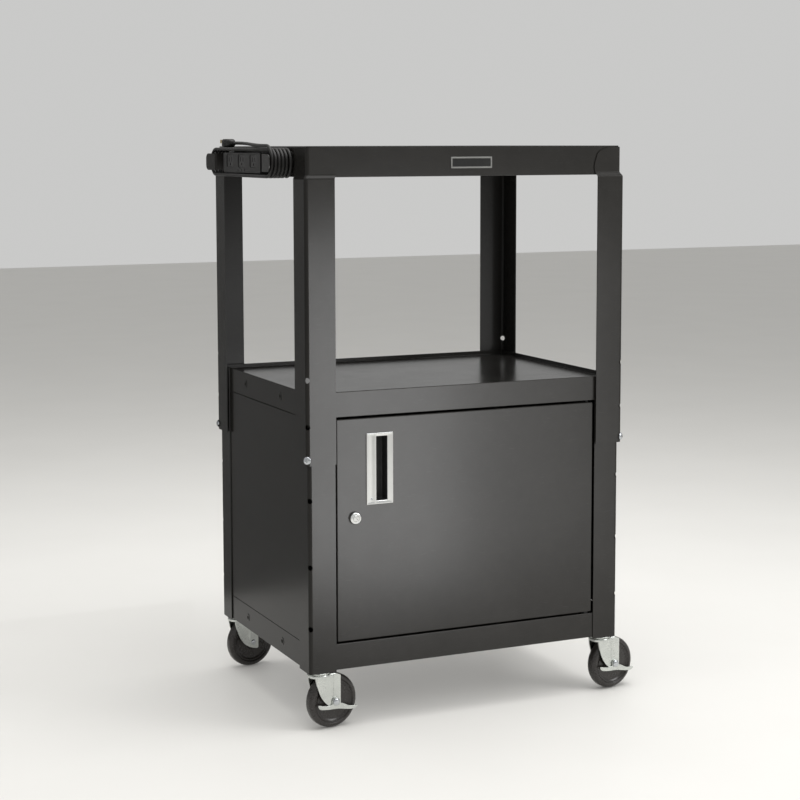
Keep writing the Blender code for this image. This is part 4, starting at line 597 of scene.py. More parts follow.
class Effects:
    """The surface effects that several finishes share, each one shader group."""

    def __init__(self) -> None:
        """Build every group once."""
        self.mottle = self._mottle()
        self.grain = self._grain()
        self.dust = self._dust()
        self.scratches = self._scratches()
        self.ripple = self._ripple()

    @staticmethod
    def _mottle() -> NodeTree:
        """Return the group for soft variation of tone."""
        graph, entry, leave = shader_group("tone_mottle", {"Vector": None, "Scale": 20.0, "Contrast": 0.5}, "Value")
        broad = graph.noise(entry["Vector"], entry["Scale"], 5.0, 0.62)
        fine = graph.noise(entry["Vector"], graph.maths("MULTIPLY", entry["Scale"], 9.0), 3.0)
        both = graph.maths("ADD", graph.maths("MULTIPLY", broad, 0.7), graph.maths("MULTIPLY", fine, 0.3))
        centred = graph.maths("MULTIPLY", graph.maths("SUBTRACT", both, 0.5), entry["Contrast"])
        leave(graph.maths("ADD", graph.maths("MULTIPLY", centred, 4.0), 0.5, clamp=True))
        return graph.tree

    @staticmethod
    def _grain() -> NodeTree:
        """Return the group for a fine pebbled skin."""
        graph, entry, leave = shader_group("skin_grain", {"Vector": None, "Scale": 900.0, "Softness": 0.5}, "Height")
        cells = graph.node("ShaderNodeTexVoronoi", {"Vector": entry["Vector"], "Scale": entry["Scale"]},
                           feature="SMOOTH_F1").outputs["Distance"]
        share = graph.maths("MULTIPLY", graph.noise(entry["Vector"], entry["Scale"], 2.0), entry["Softness"])
        rest = graph.maths("MULTIPLY", cells, graph.maths("SUBTRACT", 1.0, entry["Softness"]))
        leave(graph.maths("ADD", share, rest))
        return graph.tree

    @staticmethod
    def _dust() -> NodeTree:
        """Return the group for dust that settles on what faces up."""
        graph, entry, leave = shader_group("settled_dust", {"Vector": None, "Amount": 0.3}, "Mask")
        facing = graph.node("ShaderNodeSeparateXYZ", {0: graph.node("ShaderNodeNewGeometry").outputs["Normal"]})
        up = graph.ramp(facing.outputs["Z"], 0.2, 0.95)
        patches = graph.noise(entry["Vector"], 14.0, 6.0, 0.7)
        specks = graph.noise(entry["Vector"], 420.0, 2.0)
        cloud = graph.maths("MULTIPLY", graph.ramp(patches, 0.3, 0.75), graph.ramp(specks, 0.4, 0.7, 0.4, 1.0))
        leave(graph.maths("MULTIPLY", graph.maths("MULTIPLY", cloud, up), entry["Amount"]))
        return graph.tree

    @staticmethod
    def _scratches() -> NodeTree:
        """Return the group for thin crossing scratches."""
        graph, entry, leave = shader_group("fine_scratches", {"Vector": None, "Scale": 60.0, "Amount": 0.3}, "Mask")
        marks = []
        for turn, stretch in (((0.3, 0.9, 0.4), (1.0, 14.0, 14.0)), ((1.2, 0.2, 2.1), (14.0, 1.0, 14.0))):
            mapping = graph.node("ShaderNodeMapping", {"Vector": entry["Vector"], "Rotation": turn,
                                                       "Scale": stretch})
            marks.append(graph.ramp(graph.noise(mapping.outputs[0], entry["Scale"], 2.0), 0.66, 0.72))
        leave(graph.maths("MULTIPLY", graph.maths("MAXIMUM", marks[0], marks[1]), entry["Amount"]))
        return graph.tree

    @staticmethod
    def _ripple() -> NodeTree:
        """Return the group for the slow waviness of sheet metal."""
        graph, entry, leave = shader_group("sheet_ripple", {"Vector": None, "Scale": 5.0}, "Height")
        leave(graph.noise(entry["Vector"], entry["Scale"], 1.0, 0.3))
        return graph.tree


@dataclass(frozen=True)
class Finish:
    """One finish: tones, gloss and the strength of each shared effect."""

    name: str
    slot: str
    dark: tuple[float, float, float]
    light: tuple[float, float, float]
    rough: Pair
    metallic: float = 0.0
    mottle_scale: float = 18.0
    mottle: float = 0.5
    grain_scale: float = 1200.0
    grain_depth: float = 0.00002
    ripple_depth: float = 0.0
    ripple_scale: float = 5.0
    dust: float = 0.15
    dust_tone: tuple[float, float, float] = (0.30, 0.29, 0.27)
    scratch: float = 0.1
    scratch_tone: tuple[float, float, float] = (0.2, 0.2, 0.2)
    specular: float = 0.5
    stretch: tuple[float, float, float] = (1.0, 1.0, 1.0)

    def material(self, effects: Effects) -> Material:
        """Build the finish as a material.

        Args:
            effects: The shared effect groups.

        Returns:
            The material.
        """
        material, graph, shader = new_material(self.name)
        place = graph.node("ShaderNodeTexCoord").outputs["Object"]
        drawn = graph.node("ShaderNodeMapping", {"Vector": place, "Scale": self.stretch}).outputs[0]
        tone = self._group(graph, effects.mottle, Vector=drawn, Scale=self.mottle_scale, Contrast=self.mottle)
        gloss = self._group(graph, effects.mottle, Vector=place, Scale=self.mottle_scale * 0.6, Contrast=self.mottle)
        dust = self._group(graph, effects.dust, Vector=place, Amount=self.dust)
        marks = self._group(graph, effects.scratches, Vector=place, Amount=self.scratch)
        colour = graph.mix(tone, (*self.dark, 1), (*self.light, 1))
        colour = graph.mix(marks, colour, (*self.scratch_tone, 1))
        colour = graph.mix(dust, colour, (*self.dust_tone, 1))
        rough = graph.ramp(gloss, 0.0, 1.0, *self.rough)
        rough = graph.maths("ADD", rough, graph.maths("MULTIPLY", graph.maths("ADD", dust, marks), 0.35), clamp=True)
        grain = self._group(graph, effects.grain, Vector=drawn, Scale=self.grain_scale)
        normal = graph.bump(grain, self.grain_depth)
        if self.ripple_depth:
            wave = self._group(graph, effects.ripple, Vector=place, Scale=self.ripple_scale)
            normal = graph.bump(wave, self.ripple_depth, Normal=normal)
        graph.feed(shader, {"Base Color": colour, "Roughness": rough, "Normal": normal, "Metallic": self.metallic,
                            "Specular IOR Level": self.specular})
        return material

    @staticmethod
    def _group(graph: Graph, tree: NodeTree, **inputs: object) -> NodeSocket:
        """Place a shared effect group and return its output socket."""
        return graph.node("ShaderNodeGroup", inputs, node_tree=tree).outputs[0]


class Finishes(Enum):
    """The cart's finishes."""

    POWDER = Finish("satin_black_powder_coat", "black_powder_coat", (0.011, 0.0105, 0.0095), (0.018, 0.017, 0.0155),
                    (0.19, 0.24), mottle_scale=6.0, mottle=0.4, grain_scale=1500.0, grain_depth=0.000015,
                    ripple_depth=0.00025, ripple_scale=4.0, dust=0.05, scratch=0.04, specular=0.15)
    ZINC = Finish("bright_zinc_plate", "zinc_plate", (0.50, 0.52, 0.50), (0.66, 0.68, 0.65), (0.20, 0.30),
                  metallic=1.0, mottle_scale=40.0, mottle=0.5, grain_scale=1600.0, grain_depth=0.00002, dust=0.10,
                  scratch=0.12, scratch_tone=(0.40, 0.40, 0.39))
    RIVET = Finish("smooth_zinc_heads", "zinc_plate", (0.42, 0.44, 0.46), (0.60, 0.62, 0.64), (0.10, 0.18),
                   metallic=1.0, mottle_scale=60.0, mottle=0.5, grain_scale=1600.0, grain_depth=0.00001, dust=0.08,
                   scratch=0.15, scratch_tone=(0.35, 0.35, 0.34))
    DULL_ZINC = Finish("dull_dark_zinc", "zinc_plate", (0.05, 0.05, 0.05), (0.09, 0.09, 0.088), (0.45, 0.60),
                       metallic=0.6, mottle_scale=60.0, mottle=0.7, grain_scale=1600.0, grain_depth=0.00003)
    CHROME = Finish("polished_chrome", "chrome_plate", (0.78, 0.79, 0.79), (0.88, 0.89, 0.88), (0.06, 0.13),
                    metallic=1.0, mottle_scale=40.0, mottle=0.4, grain_depth=0.000005, dust=0.08, scratch=0.15,
                    scratch_tone=(0.45, 0.45, 0.44))
    RUBBER = Finish("wheel_rubber_tread", "wheel_rubber", (0.018, 0.0155, 0.014), (0.028, 0.0245, 0.022),
                    (0.22, 0.32), mottle_scale=50.0, mottle=0.6, grain_scale=900.0, grain_depth=0.00004, dust=0.20,
                    dust_tone=(0.16, 0.15, 0.13), scratch=0.15, scratch_tone=(0.07, 0.065, 0.06))
    PLASTIC = Finish("moulded_dark_plastic", "dark_plastic", (0.011, 0.0105, 0.0105), (0.018, 0.0175, 0.017),
                     (0.36, 0.48), mottle_scale=30.0, grain_scale=2200.0, grain_depth=0.00004, dust=0.08,
                     specular=0.35)
    OUTLET = Finish("outlet_dark_plastic", "dark_plastic", (0.014, 0.0135, 0.0135), (0.022, 0.021, 0.0205),
                    (0.28, 0.38), mottle_scale=50.0, grain_scale=2600.0, grain_depth=0.00002, dust=0.08,
                    specular=0.35)
    JACKET = Finish("cord_jacket_vinyl", "cord_jacket", (0.012, 0.0115, 0.011), (0.020, 0.019, 0.018), (0.36, 0.48),
                    mottle_scale=40.0, mottle=0.6, grain_scale=2600.0, grain_depth=0.00003, dust=0.08,
                    specular=0.3)
    CUP = Finish("pull_cup_black", "pull_black", (0.018, 0.018, 0.018), (0.028, 0.028, 0.028), (0.40, 0.55),
                 mottle_scale=40.0, grain_scale=2000.0, grain_depth=0.00003, dust=0.1)
    PLATE = Finish("brushed_plate_frame", "plate_metal", (0.22, 0.22, 0.21), (0.32, 0.32, 0.31), (0.34, 0.46),
                   metallic=0.9, mottle_scale=30.0, mottle=0.9, stretch=(0.6, 8.0, 40.0), grain_scale=300.0,
                   grain_depth=0.00002, dust=0.08, scratch=0.15)
    PLATE_FACE = Finish("dark_plate_face", "plate_metal", (0.012, 0.012, 0.012), (0.022, 0.022, 0.021),
                        (0.30, 0.40), mottle_scale=50.0, mottle=0.7, grain_scale=1800.0, grain_depth=0.00002,
                        dust=0.08, scratch=0.15, scratch_tone=(0.09, 0.09, 0.09), specular=0.3)
    BRASS = Finish("plug_blade_brass", "blade_metal", (0.58, 0.46, 0.25), (0.80, 0.68, 0.44), (0.22, 0.38),
                   metallic=1.0, mottle_scale=80.0, mottle=0.7, grain_scale=1500.0, grain_depth=0.00002, dust=0.1,
                   scratch=0.3, scratch_tone=(0.45, 0.36, 0.2))


class Workshop:
    """Adds finished pieces to the scene, each with its finish, body and node."""

    def __init__(self) -> None:
        """Build the finishes."""
        effects = Effects()
        self.materials = {finish: finish.value.material(effects) for finish in Finishes}
        self.repeater = Repeater()
        self.coated: list[Object] = []

    def add(self, name: str, mesh: Mesh, finish: Finishes, body: str, nodes: Iterable[str] = (),
            angle: float = 35) -> Object:
        """Add one piece.

        Args:
            name: The piece's name.
            mesh: Its mesh, in place.
            finish: Its finish.
            body: The body that it rides on.
            nodes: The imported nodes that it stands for.
            angle: The turn, in degrees, past which an edge is shown sharp.

        Returns:
            The piece's object.
        """
        mesh.polygons.foreach_set("material_index", [0] * len(mesh.polygons))
        mesh.materials.clear()
        mesh.materials.append(self.materials[finish])
        mesh.shade_smooth()
        mesh.set_sharp_from_angle(angle=radians(angle))
        worked = linked(mesh)
        worked.modifiers.new("even_shading", "WEIGHTED_NORMAL").keep_sharp = True
        obj = linked(evaluated_mesh(worked), name)
        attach(obj, body)
        if nodes:
            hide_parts(*nodes)
        if finish is Finishes.POWDER:
            self.coated.append(obj)
        LOG.info("%s: %d faces on %s", name, len(obj.data.polygons), body)
        return obj

    def dress(self, finish: Finishes, names: Iterable[str]) -> None:
        """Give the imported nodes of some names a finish."""
        for name in names:
            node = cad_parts[name]
            node.data.materials.clear()
            node.data.materials.append(self.materials[finish])
            if finish is Finishes.POWDER:
                self.coated.append(node)
            LOG.info("%s: packed node dressed in %s", name, finish.value.name)


# Cord
@dataclass
class WoundCord:
    """The power cord, wound on its bracket, with its strain relief and plug."""

    diameter: float = 0.0060
    height: float = 0.0465
    half_length: float = 0.1650
    first: float = 0.0046
    pitch: float = 0.0067
    loops: int = 5
    lead_radius: float = 0.0250
    layer_gap: float = 0.0005
    shift_share: float = 0.55
    exit_along: float = 0.1085
    low: float = 0.9632
    plug_height: float = 0.0154
    arc_count: int = 21
    run_count: int = 6
    lead_steps: int = 8
    cross_steps: int = 24
    round_steps: int = 3
    length: float = 3.921

    @staticmethod
    def arc(centre: Pair, radius: float, start: float, end: float, count: int) -> list[Pair]:
        """Return points on an arc, along and up, whose angles run from straight down towards the front."""
        angles = [start + (end - start) * step / (count - 1) for step in range(count)]
        return [(centre[0] + radius * sin(angle), centre[1] - radius * cos(angle)) for angle in angles]

    def winding(self) -> tuple[list[Pair], int, int, Pair]:
        """Lay out the winding seen from the side.

        Returns:
            The route, the counts of its lead and of its wound points, and the last turn's centre and level.
        """
        radius = self.height / 2
        middle = self.low + radius
        high = self.low + self.height
        turn = self.half_length - radius
        exit_start = self.exit_along + GAP
        bend = exit_start + self.diameter
        reach = radius + self.lead_radius
        drop = acos((middle - EXIT_LEVEL + self.lead_radius) / reach)
        first_turn = bend + reach * sin(drop)
        route = [(exit_start, EXIT_LEVEL), (bend, EXIT_LEVEL)]
        for step in range(1, self.lead_steps):
            angle = drop * step / self.lead_steps
            route.append((bend + self.lead_radius * sin(angle), EXIT_LEVEL - self.lead_radius * (1 - cos(angle))))
        route += self.arc((first_turn, middle), radius, -drop, 0.0, self.lead_steps)
        lead_count = len(route)
        share = [(step + 1) / (self.run_count + 1) for step in range(self.run_count)]
        for loop in range(self.loops):
            centre = first_turn if loop == 0 else turn
            front = self.arc((centre, middle), radius, 0.0, pi, self.arc_count)
            route += front[1:] if loop == 0 else front
            route += [(turn - 2 * turn * step, high) for step in share]
            back = self.arc((turn, middle), radius, 0.0, pi, self.arc_count)
            route += [(-along, level) for along, level in reversed(back)]
            route += [(-turn + 2 * turn * step, self.low) for step in share]
        upper = high + self.diameter + self.layer_gap
        last_radius = (upper - self.low) / 2
        last_turn = self.half_length - last_radius
        route += self.arc((last_turn, self.low + last_radius), last_radius, 0.0, pi, self.arc_count)
        return route, lead_count, len(route), (last_turn, upper)

    def points(self) -> list[Vector]:
        """Return the cord's route: lead-in, winding and lead to the plug."""
        route, lead_count, wound_count, (last_turn, upper) = self.winding()
        travelled = [0.0]
        for before, after in zip(route, route[1:]):
            travelled.append(travelled[-1] + sqrt((after[0] - before[0]) ** 2 + (after[1] - before[1]) ** 2))
        start = travelled[lead_count - 1]
        span = travelled[wound_count - 1] - start
        last_share = (travelled[wound_count - 1] - travelled[wound_count - self.arc_count]) / span
        shift = (start - self.diameter) * self.shift_share
        last = self.first + self.pitch * self.loops
        points = []
        for (along, level), distance in zip(route, travelled):
            if distance <= start:
                share = eased((distance - self.diameter) / shift)
                depth = EXIT_DEPTH + (self.first - EXIT_DEPTH) * share
            else:
                depth = self.first + (last - self.first) * (distance - start) / span / (1 - last_share)
            points.append((along, level, depth))
        plug_level = self.plug_level()
        entry = -PLUG_START + GAP
        depth = points[-1][2]
        cross_end = entry + 2 * self.diameter
        for step in range(1, self.cross_steps + 1):
            share = eased(step / self.cross_steps)
            points.append((last_turn + (cross_end - last_turn) * step / self.cross_steps,
                           upper + (plug_level - upper) * share, depth + (PLUG_CENTRE - depth) * share))
        points.append((entry + self.diameter, plug_level, PLUG_CENTRE))
        points.append((entry, plug_level, PLUG_CENTRE))
        return [LEFT @ Vector(point) for point in points]

    def plug_level(self) -> float:
        """Return the level of the plug's middle."""
        return self.low + self.height + self.diameter / 2 + GAP + self.plug_height / 2

    def build(self, shop: Workshop, ends: Sequence[Object]) -> None:
        """Args:
            shop: The workshop that adds the pieces.
            ends: The strain relief and the plug; not used.
        """
        points = self.points()
        curve = bpy.data.curves.new("wound_power_cord", "CURVE")
        curve.dimensions = "3D"
        curve.bevel_depth = self.diameter / 2
        curve.bevel_resolution = self.round_steps
        curve.use_fill_caps = True
        spline = curve.splines.new("POLY")
        spline.points.add(len(points) - 1)
        for target, point in zip(spline.points, points):
            target.co = (*point, 1)
        spline.use_smooth = True
        curve.materials.append(shop.materials[Finishes.JACKET])
        obj = linked(curve, "wound_power_cord")
        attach(obj, Body.UPPER.value)
        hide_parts("power_cord")
        LOG.info("wound_power_cord: %d points", len(points))


# Sheet metal
@dataclass
class Shelf:
    """One pressed tray with a lip round a sunken plate."""

    name: str
    body: Body
    bottom: float
    skirt: float
    inner_return: float
    sheet: float = 0.0012
    lip_width: float = 0.0030
    lip_rise: float = 0.0080
    lip_round: float = 0.0012
    fillet: float = 0.0012
    corner: float = 0.0040
    inner_corner: float = 0.0010
    hole_diameter: float = 0.0090
    hole_rise: float = 0.0227
    punch: float = 0.0040
    side_holes: bool = True

    def tray(self) -> Mesh:
        """Return the tray with round lips and a filleted plate."""
        lip = self.bottom + self.skirt
        plate = lip - self.lip_rise
        edge = self.sheet / 2
        levels = [(self.sheet, plate - self.sheet), (self.sheet, self.bottom + self.sheet),
                  (self.inner_return, self.bottom + self.sheet), (self.inner_return, self.bottom),
                  (edge, self.bottom), (edge * 0.3, self.bottom + edge * 0.3), (0.0, self.bottom + edge)]
        levels += [(inset, lip - sink) for inset, sink in quarter(self.lip_round, 5)]
        levels += [(self.lip_width - edge, lip), (self.lip_width - edge * 0.3, lip - edge * 0.3),
                   (self.lip_width, lip - edge)]
        levels += [(self.lip_width + inset, plate + rise) for inset, rise in quarter(self.fillet, 4)]
        return loft(stacked(levels, (HALF_WIDTH, HALF_DEPTH), self.corner, least=self.inner_corner))

    def tools(self) -> list[Mesh]:
        """Return what punches the holes of the side skirts."""
        tools = []
        for sign_x in (-1, 1):
            for sign_y in (-1, 1):
                middle = (sign_x * HALF_WIDTH, sign_y * SIDE_HOLE_HALF, self.bottom + self.hole_rise)
                place = Matrix.Translation(middle) @ Matrix.Rotation(pi / 2, 4, "Y")
                tools.append(rod(self.hole_diameter / 2, -self.punch, self.punch, place))
        return tools

    def build(self, shop: Workshop) -> None:
        """Make the shelf in the workshop."""
        mesh = self.tray()
        if self.side_holes:
            mesh = combined(mesh, self.tools())
        shop.add(self.name + "_tray", mesh, Finishes.POWDER, self.body.value, [self.name], angle=40)


@dataclass
class Legs:
    """The lower and upper corner legs."""

    bend: float = 0.0061
    reach: float = 0.0478
    lower_sheet: float = 0.0018
    upper_sheet: float = 0.0020
    clearance: float = 0.0026
    lower_low: float = 0.1038
    lower_high: float = 0.5952
    upper_low: float = 0.4707
    upper_high: float = 1.0125
    joggle_start: float = 0.9590
    joggle_height: float = 0.0090
    bulge: float = 0.0050
    arch_width: float = 0.0360
    ear_bulges: tuple[Pair, ...] = ((0.0, 0.70), (0.035, 0.82), (0.07, 0.90), (0.11, 0.96), (0.15, 1.0),
                                    (0.21, 0.98), (0.28, 0.92), (0.36, 0.77), (0.45, 0.56), (0.53, 0.30),
                                    (0.62, 0.0))
    bolt_level: float = 0.4810
    hole_diameter: float = 0.0095
    upper_holes: tuple[float, ...] = (0.0671, 0.1478)
    lower_holes: tuple[float, ...] = (0.0802, 0.1887, 0.3051)
    spare_rise: float = 0.0508
    nut_flats: float = 0.0110
    nut_height: float = 0.0060
    drilled: Pair = (-0.0080, 0.0040)
    soft: float = 0.0007

    @property
    def upper_offset(self) -> float:
        """Return how far the upper legs stand off the shelves."""
        return GAP + self.lower_sheet + self.clearance

    def ring(self, corner: Corner, height: float, offset: float, sheet: float, reach: float,
             steps: int = 8) -> Ring:
        """Return one level of an angle leg.

        Args:
            corner: The corner that it stands in.
            height: The level.
            offset: How far its inner faces stand off the shelf.
            sheet: Its thickness.
            reach: How far its flanges reach.
            steps: The number of steps round its bend.

        Returns:
            The ring's points.
        """
        signs = corner.value
        inner = Vector((HALF_WIDTH + offset, HALF_DEPTH + offset))
        outer = inner + Vector((sheet, sheet))
        centre = outer - Vector((self.bend, self.bend))
        free = Vector((HALF_WIDTH - reach, HALF_DEPTH - reach))
        turns = [step * pi / 2 / steps for step in range(steps + 1)]
        points = [(free.x, outer.y)]
        points += [(centre.x + self.bend * cos(angle), centre.y + self.bend * sin(angle))
                   for angle in reversed(turns)]
        points += [(outer.x, free.y), (inner.x, free.y)]
        radius = self.bend - sheet
        points += [(centre.x + radius * cos(angle), centre.y + radius * sin(angle)) for angle in turns]
        points.append((free.x, inner.y))
        return [(signs[0] * x, signs[1] * y, height) for x, y in points]

    def diagonal(self, corner: Corner, offset: float, height: float) -> Matrix:
        """Return the frame on a leg's bend that points out along the diagonal.

        Args:
            corner: The leg's corner.
            offset: How far the bend's outer face stands off the shelf.
            height: The level.

        Returns:
            The frame.
        """
        signs = corner.value
        shift = offset - self.bend + self.bend * sqrt(0.5)
        turn = Matrix.Rotation(atan2(signs[1], signs[0]), 4, "Z") @ Matrix.Rotation(pi / 2, 4, "Y")
        return Matrix.Translation((signs[0] * (HALF_WIDTH + shift), signs[1] * (HALF_DEPTH + shift), height)) @ turn

    def drills(self, corner: Corner, offset: float, levels: Iterable[float]) -> list[Mesh]:
        """Return the rods that drill a leg's bend, whose outer face stands off the shelf, at some levels."""
        return [rod(self.hole_diameter / 2, *self.drilled, self.diagonal(corner, offset, level))
                for level in levels]

    def lower(self, corner: Corner) -> Mesh:
        """Return a lower leg with its holes and the nut behind one of them."""
        offset = GAP + self.lower_sheet
        mesh = loft([self.ring(corner, height, GAP, self.lower_sheet, self.reach)
                     for height in (self.lower_low, self.lower_high)])
        levels = [self.lower_low + rise for rise in self.lower_holes]
        levels += [self.bolt_level + self.spare_rise, self.bolt_level]
        mesh = softened(combined(mesh, self.drills(corner, offset, levels)), self.soft)
        seat = -self.nut_flats / 2
        nut = prism(hexagon(self.nut_flats / sqrt(3)), seat - self.nut_height, seat,
                    self.diagonal(corner, offset, self.bolt_level))
        return joined((mesh, softened(nut, self.soft)))

    def upper(self, corner: Corner) -> Mesh:
        """Return an upper leg that steps in to the shelf and ends in an arched ear."""
        end = self.joggle_start + self.joggle_height
        ear = self.upper_high - end
        levels = [(self.upper_low, 0.0, 0.0), (self.joggle_start, 0.0, 0.0)]
        for step in range(1, 7):
            share = eased(step / 7)
            levels.append((self.joggle_start + self.joggle_height * step / 7, share,
                           self.bulge * self.ear_bulges[0][1] * share))
        levels += [(end + share * ear, 1.0, self.bulge * bulge) for share, bulge in self.ear_bulges]
        arch_start = self.ear_bulges[-1][0]
        for step in range(1, 13):
            angle = step * pi / 24
            levels.append((end + ear * (arch_start + (1 - arch_start) * sin(angle)), 1.0,
                           -self.arch_width * (1 - cos(angle))))
        rings = []
        for height, step_in, bulge in levels:
            offset = self.upper_offset + (GAP - self.upper_offset) * step_in
            rings.append(self.ring(corner, height, offset, self.upper_sheet, self.reach + bulge))
        holes = [self.upper_low + rise for rise in self.upper_holes] + [self.bolt_level]
        drills = self.drills(corner, self.upper_offset + self.upper_sheet, holes)
        return softened(combined(loft(rings), drills), self.soft)

    def build(self, shop: Workshop) -> None:
        """Make the eight legs in the workshop."""
        for corner in Corner:
            shop.add("lower_angle_" + corner.label, self.lower(corner), Finishes.POWDER, Body.LOWER.value,
                     ["lower_leg_" + corner.label])
            shop.add("upper_angle_" + corner.label, self.upper(corner), Finishes.POWDER, Body.UPPER.value,
                     ["upper_leg_" + corner.label])


# Casters
@dataclass
class Caster:
    """A swivel caster: fork, wheel, axle, stem and, on the front ones, a brake lever."""

    azimuth: float = 10.0
    inset_x: float = 0.0218
    inset_y: float = 0.0176
    wheel_radius: float = 0.0485
    trail: float = 0.0250
    half: float = 0.0149
    sheet: float = 0.0023
    nose: float = 0.0110
    nose_drop: float = 0.0125
    nose_round: float = 0.0030
    front: float = 0.0200
    front_round: float = 0.0080
    front_step: float = 0.0060
    skirt: float = 0.0062
    bend: float = 0.0036
    curve: Pair = (0.736, 0.085)
    shoulder_start: float = 0.0170
    shoulder_drop: float = 0.0060
    rib_offset: float = 0.0065
    rib_width: float = 0.0066
    rib_proud: float = 0.0016
    rib_foot: float = 0.0085
    across: float = 0.0300
    fork_edge: float = 0.0004
    crown_under: float = 0.0985
    crown_top: float = 0.1008
    dish_radius: float = 0.0200
    dish_skirt: float = 0.0056
    tread_radius: float = 0.0482
    tread_half: float = 0.0024
    shoulder: Pair = (0.0078, 0.0086)
    wheel_face: tuple[Pair, ...] = ((0.0398, 0.0109), (0.0393, 0.0105), (0.0388, 0.0099), (0.0384, 0.0091),
                                    (0.0377, 0.0087), (0.0369, 0.0090), (0.0362, 0.0092), (0.0352, 0.0088),
                                    (0.0338, 0.0077), (0.0326, 0.0071), (0.0310, 0.0069), (0.0170, 0.0067),
                                    (0.0152, 0.0072), (0.0141, 0.0085), (0.0132, 0.0106), (0.0126, 0.0118),
                                    (0.0118, 0.0122))
    pin_radius: float = 0.0040
    pin_hole: float = 0.0045
    head_radius: float = 0.0065
    head_rise: float = 0.0035
    plain_head_radius: float = 0.0052
    plain_head_rise: float = 0.0015
    kingpin: tuple[Pair, ...] = ((0, 0.0952), (0.0056, 0.0952), (0.0068, 0.0960), (0.0070, 0.0982), (0.0042, 0.0982),
                                 (0.0042, 0.1011), (0.0196, 0.1011), (0.0203, 0.1013), (0.0205, 0.1018))
    cup_radius: float = 0.0205
    cup_top: float = 0.1035
    cup_round: float = 0.0010
    collar: tuple[Pair, ...] = ((0.0150, 0.1033), (0.0080, 0.1035), (0.0080, 0.1071), (0.0055, 0.1071))
    stem_radius: float = 0.0055
    stem_top: float = 0.1252
    stem_chamfer: float = 0.0011
    thread_root: float = 0.0052
    thread_start: float = 0.1112
    nut_radius: float = 0.0098
    nut_levels: Pair = (0.1102, 0.1192)
    nut_edge: float = 0.0005
    lever_length: float = 0.0800
    lever_sheet: float = 0.0025
    lever_eye: float = 0.0080
    lever_edge: float = 0.0006
    lever_top: tuple[Pair, ...] = ((-0.456, -0.018), (-0.370, -0.032), (-0.281, -0.052), (-0.200, -0.062),
                                   (-0.140, -0.062))
    lever_tip: tuple[Pair, ...] = ((0.115, -0.038), (0.160, -0.052), (0.230, -0.085), (0.305, -0.124),
                                   (0.390, -0.146), (0.470, -0.155), (0.545, -0.158))
    lever_under: tuple[Pair, ...] = ((0.535, -0.195), (0.470, -0.224), (0.350, -0.222), (0.210, -0.196),
                                     (0.060, -0.165), (-0.046, -0.156), (-0.190, -0.149), (-0.350, -0.128),
                                     (-0.420, -0.103), (-0.455, -0.060))

    @property
    def axle_place(self) -> Matrix:
        """Return the axle's frame in the caster's own, pointing out through the lever."""
        return Matrix.Translation((self.trail, 0, self.wheel_radius)) @ TIP_FORWARD

    def place(self, corner: Corner) -> Matrix:
        """Return the frame of a caster, whose origin is on the floor under its swivel."""
        signs = corner.value
        middle = (signs[0] * (HALF_WIDTH - self.inset_x), signs[1] * (HALF_DEPTH - self.inset_y), 0)
        return Matrix.Translation(middle) @ Matrix.Rotation(radians(self.azimuth), 4, "Z")

    def plan(self, half: float, height: float, rear: float) -> Ring:
        """Return one level of the fork's plan, straight at the sides and round at the front.

        Args:
            half: Half its width.
            height: The level.
            rear: Where its sides end.

        Returns:
            The ring's points.
        """
        centre = self.front_round - self.front
        depth = self.front_round - self.half + half
        ring = [(rear, -half, height)]
        for step in range(25):
            angle = -pi / 2 - pi * step / 24
            ring.append((centre + depth * cos(angle), half * sin(angle), height))
        return ring + [(rear, half, height)]

    def side(self) -> list[Pair]:
        """Return the fork's outline from the side: sloping shoulder, straight edge, nose and sweep to the crown."""
        rear = self.trail + self.nose
        top = self.crown_top + PAST
        points = [(self.shoulder_start, top), (self.shoulder_start, self.crown_top)]
        for step in range(1, 9):
            share = step / 8
            points.append((self.shoulder_start + (rear - self.shoulder_start) * share,
                           self.crown_top - self.shoulder_drop * share ** 1.5))
        corner = (rear - self.nose_round, self.wheel_radius - self.nose_drop + self.nose_round)
        for degrees in range(0, -101, -10):
            angle = radians(degrees)
            points.append((corner[0] + self.nose_round * cos(angle), corner[1] + self.nose_round * sin(angle)))
        start = Vector(points[-1])
        end = Vector((self.front_step - self.front, self.crown_top - self.skirt - 0.003))
        run = start.x + self.front
        bend = Vector((start.x - self.curve[0] * run, start.y + self.curve[1] * run))
        for step in range(1, 19):
            share = step / 18
            points.append(tuple(start * (1 - share) ** 2 + bend * 2 * share * (1 - share) + end * share ** 2))
        return points + [(end.x, self.crown_top - self.skirt), (-self.front - PAST, self.crown_top - self.skirt),
                         (-self.front - PAST, top)]

    def rib(self, side: int) -> Mesh:
        """Return the rib pressed out of one of the fork's legs."""
        middle = self.trail - self.rib_offset
        low, high = self.wheel_radius + self.rib_foot, self.crown_top - self.bend
        rings = []
        for height, swell in ((low, 0.1), (low + 0.0015, 0.6), (low + 0.0035, 1.0), (high - 0.002, 1.0),
                              (high, 0.4)):
            ring = [(middle + self.rib_width / 2, side * (self.half - 0.001), height)]
            for step in range(13):
                angle = pi * step / 12
                ring.append((middle + self.rib_width / 2 * cos(angle),
                             side * (self.half - 0.0002 + (self.rib_proud + 0.0002) * swell * sin(angle) ** 1.5),
                             height))
            rings.append(ring + [(middle - self.rib_width / 2, side * (self.half - 0.001), height)])
        return loft(rings)

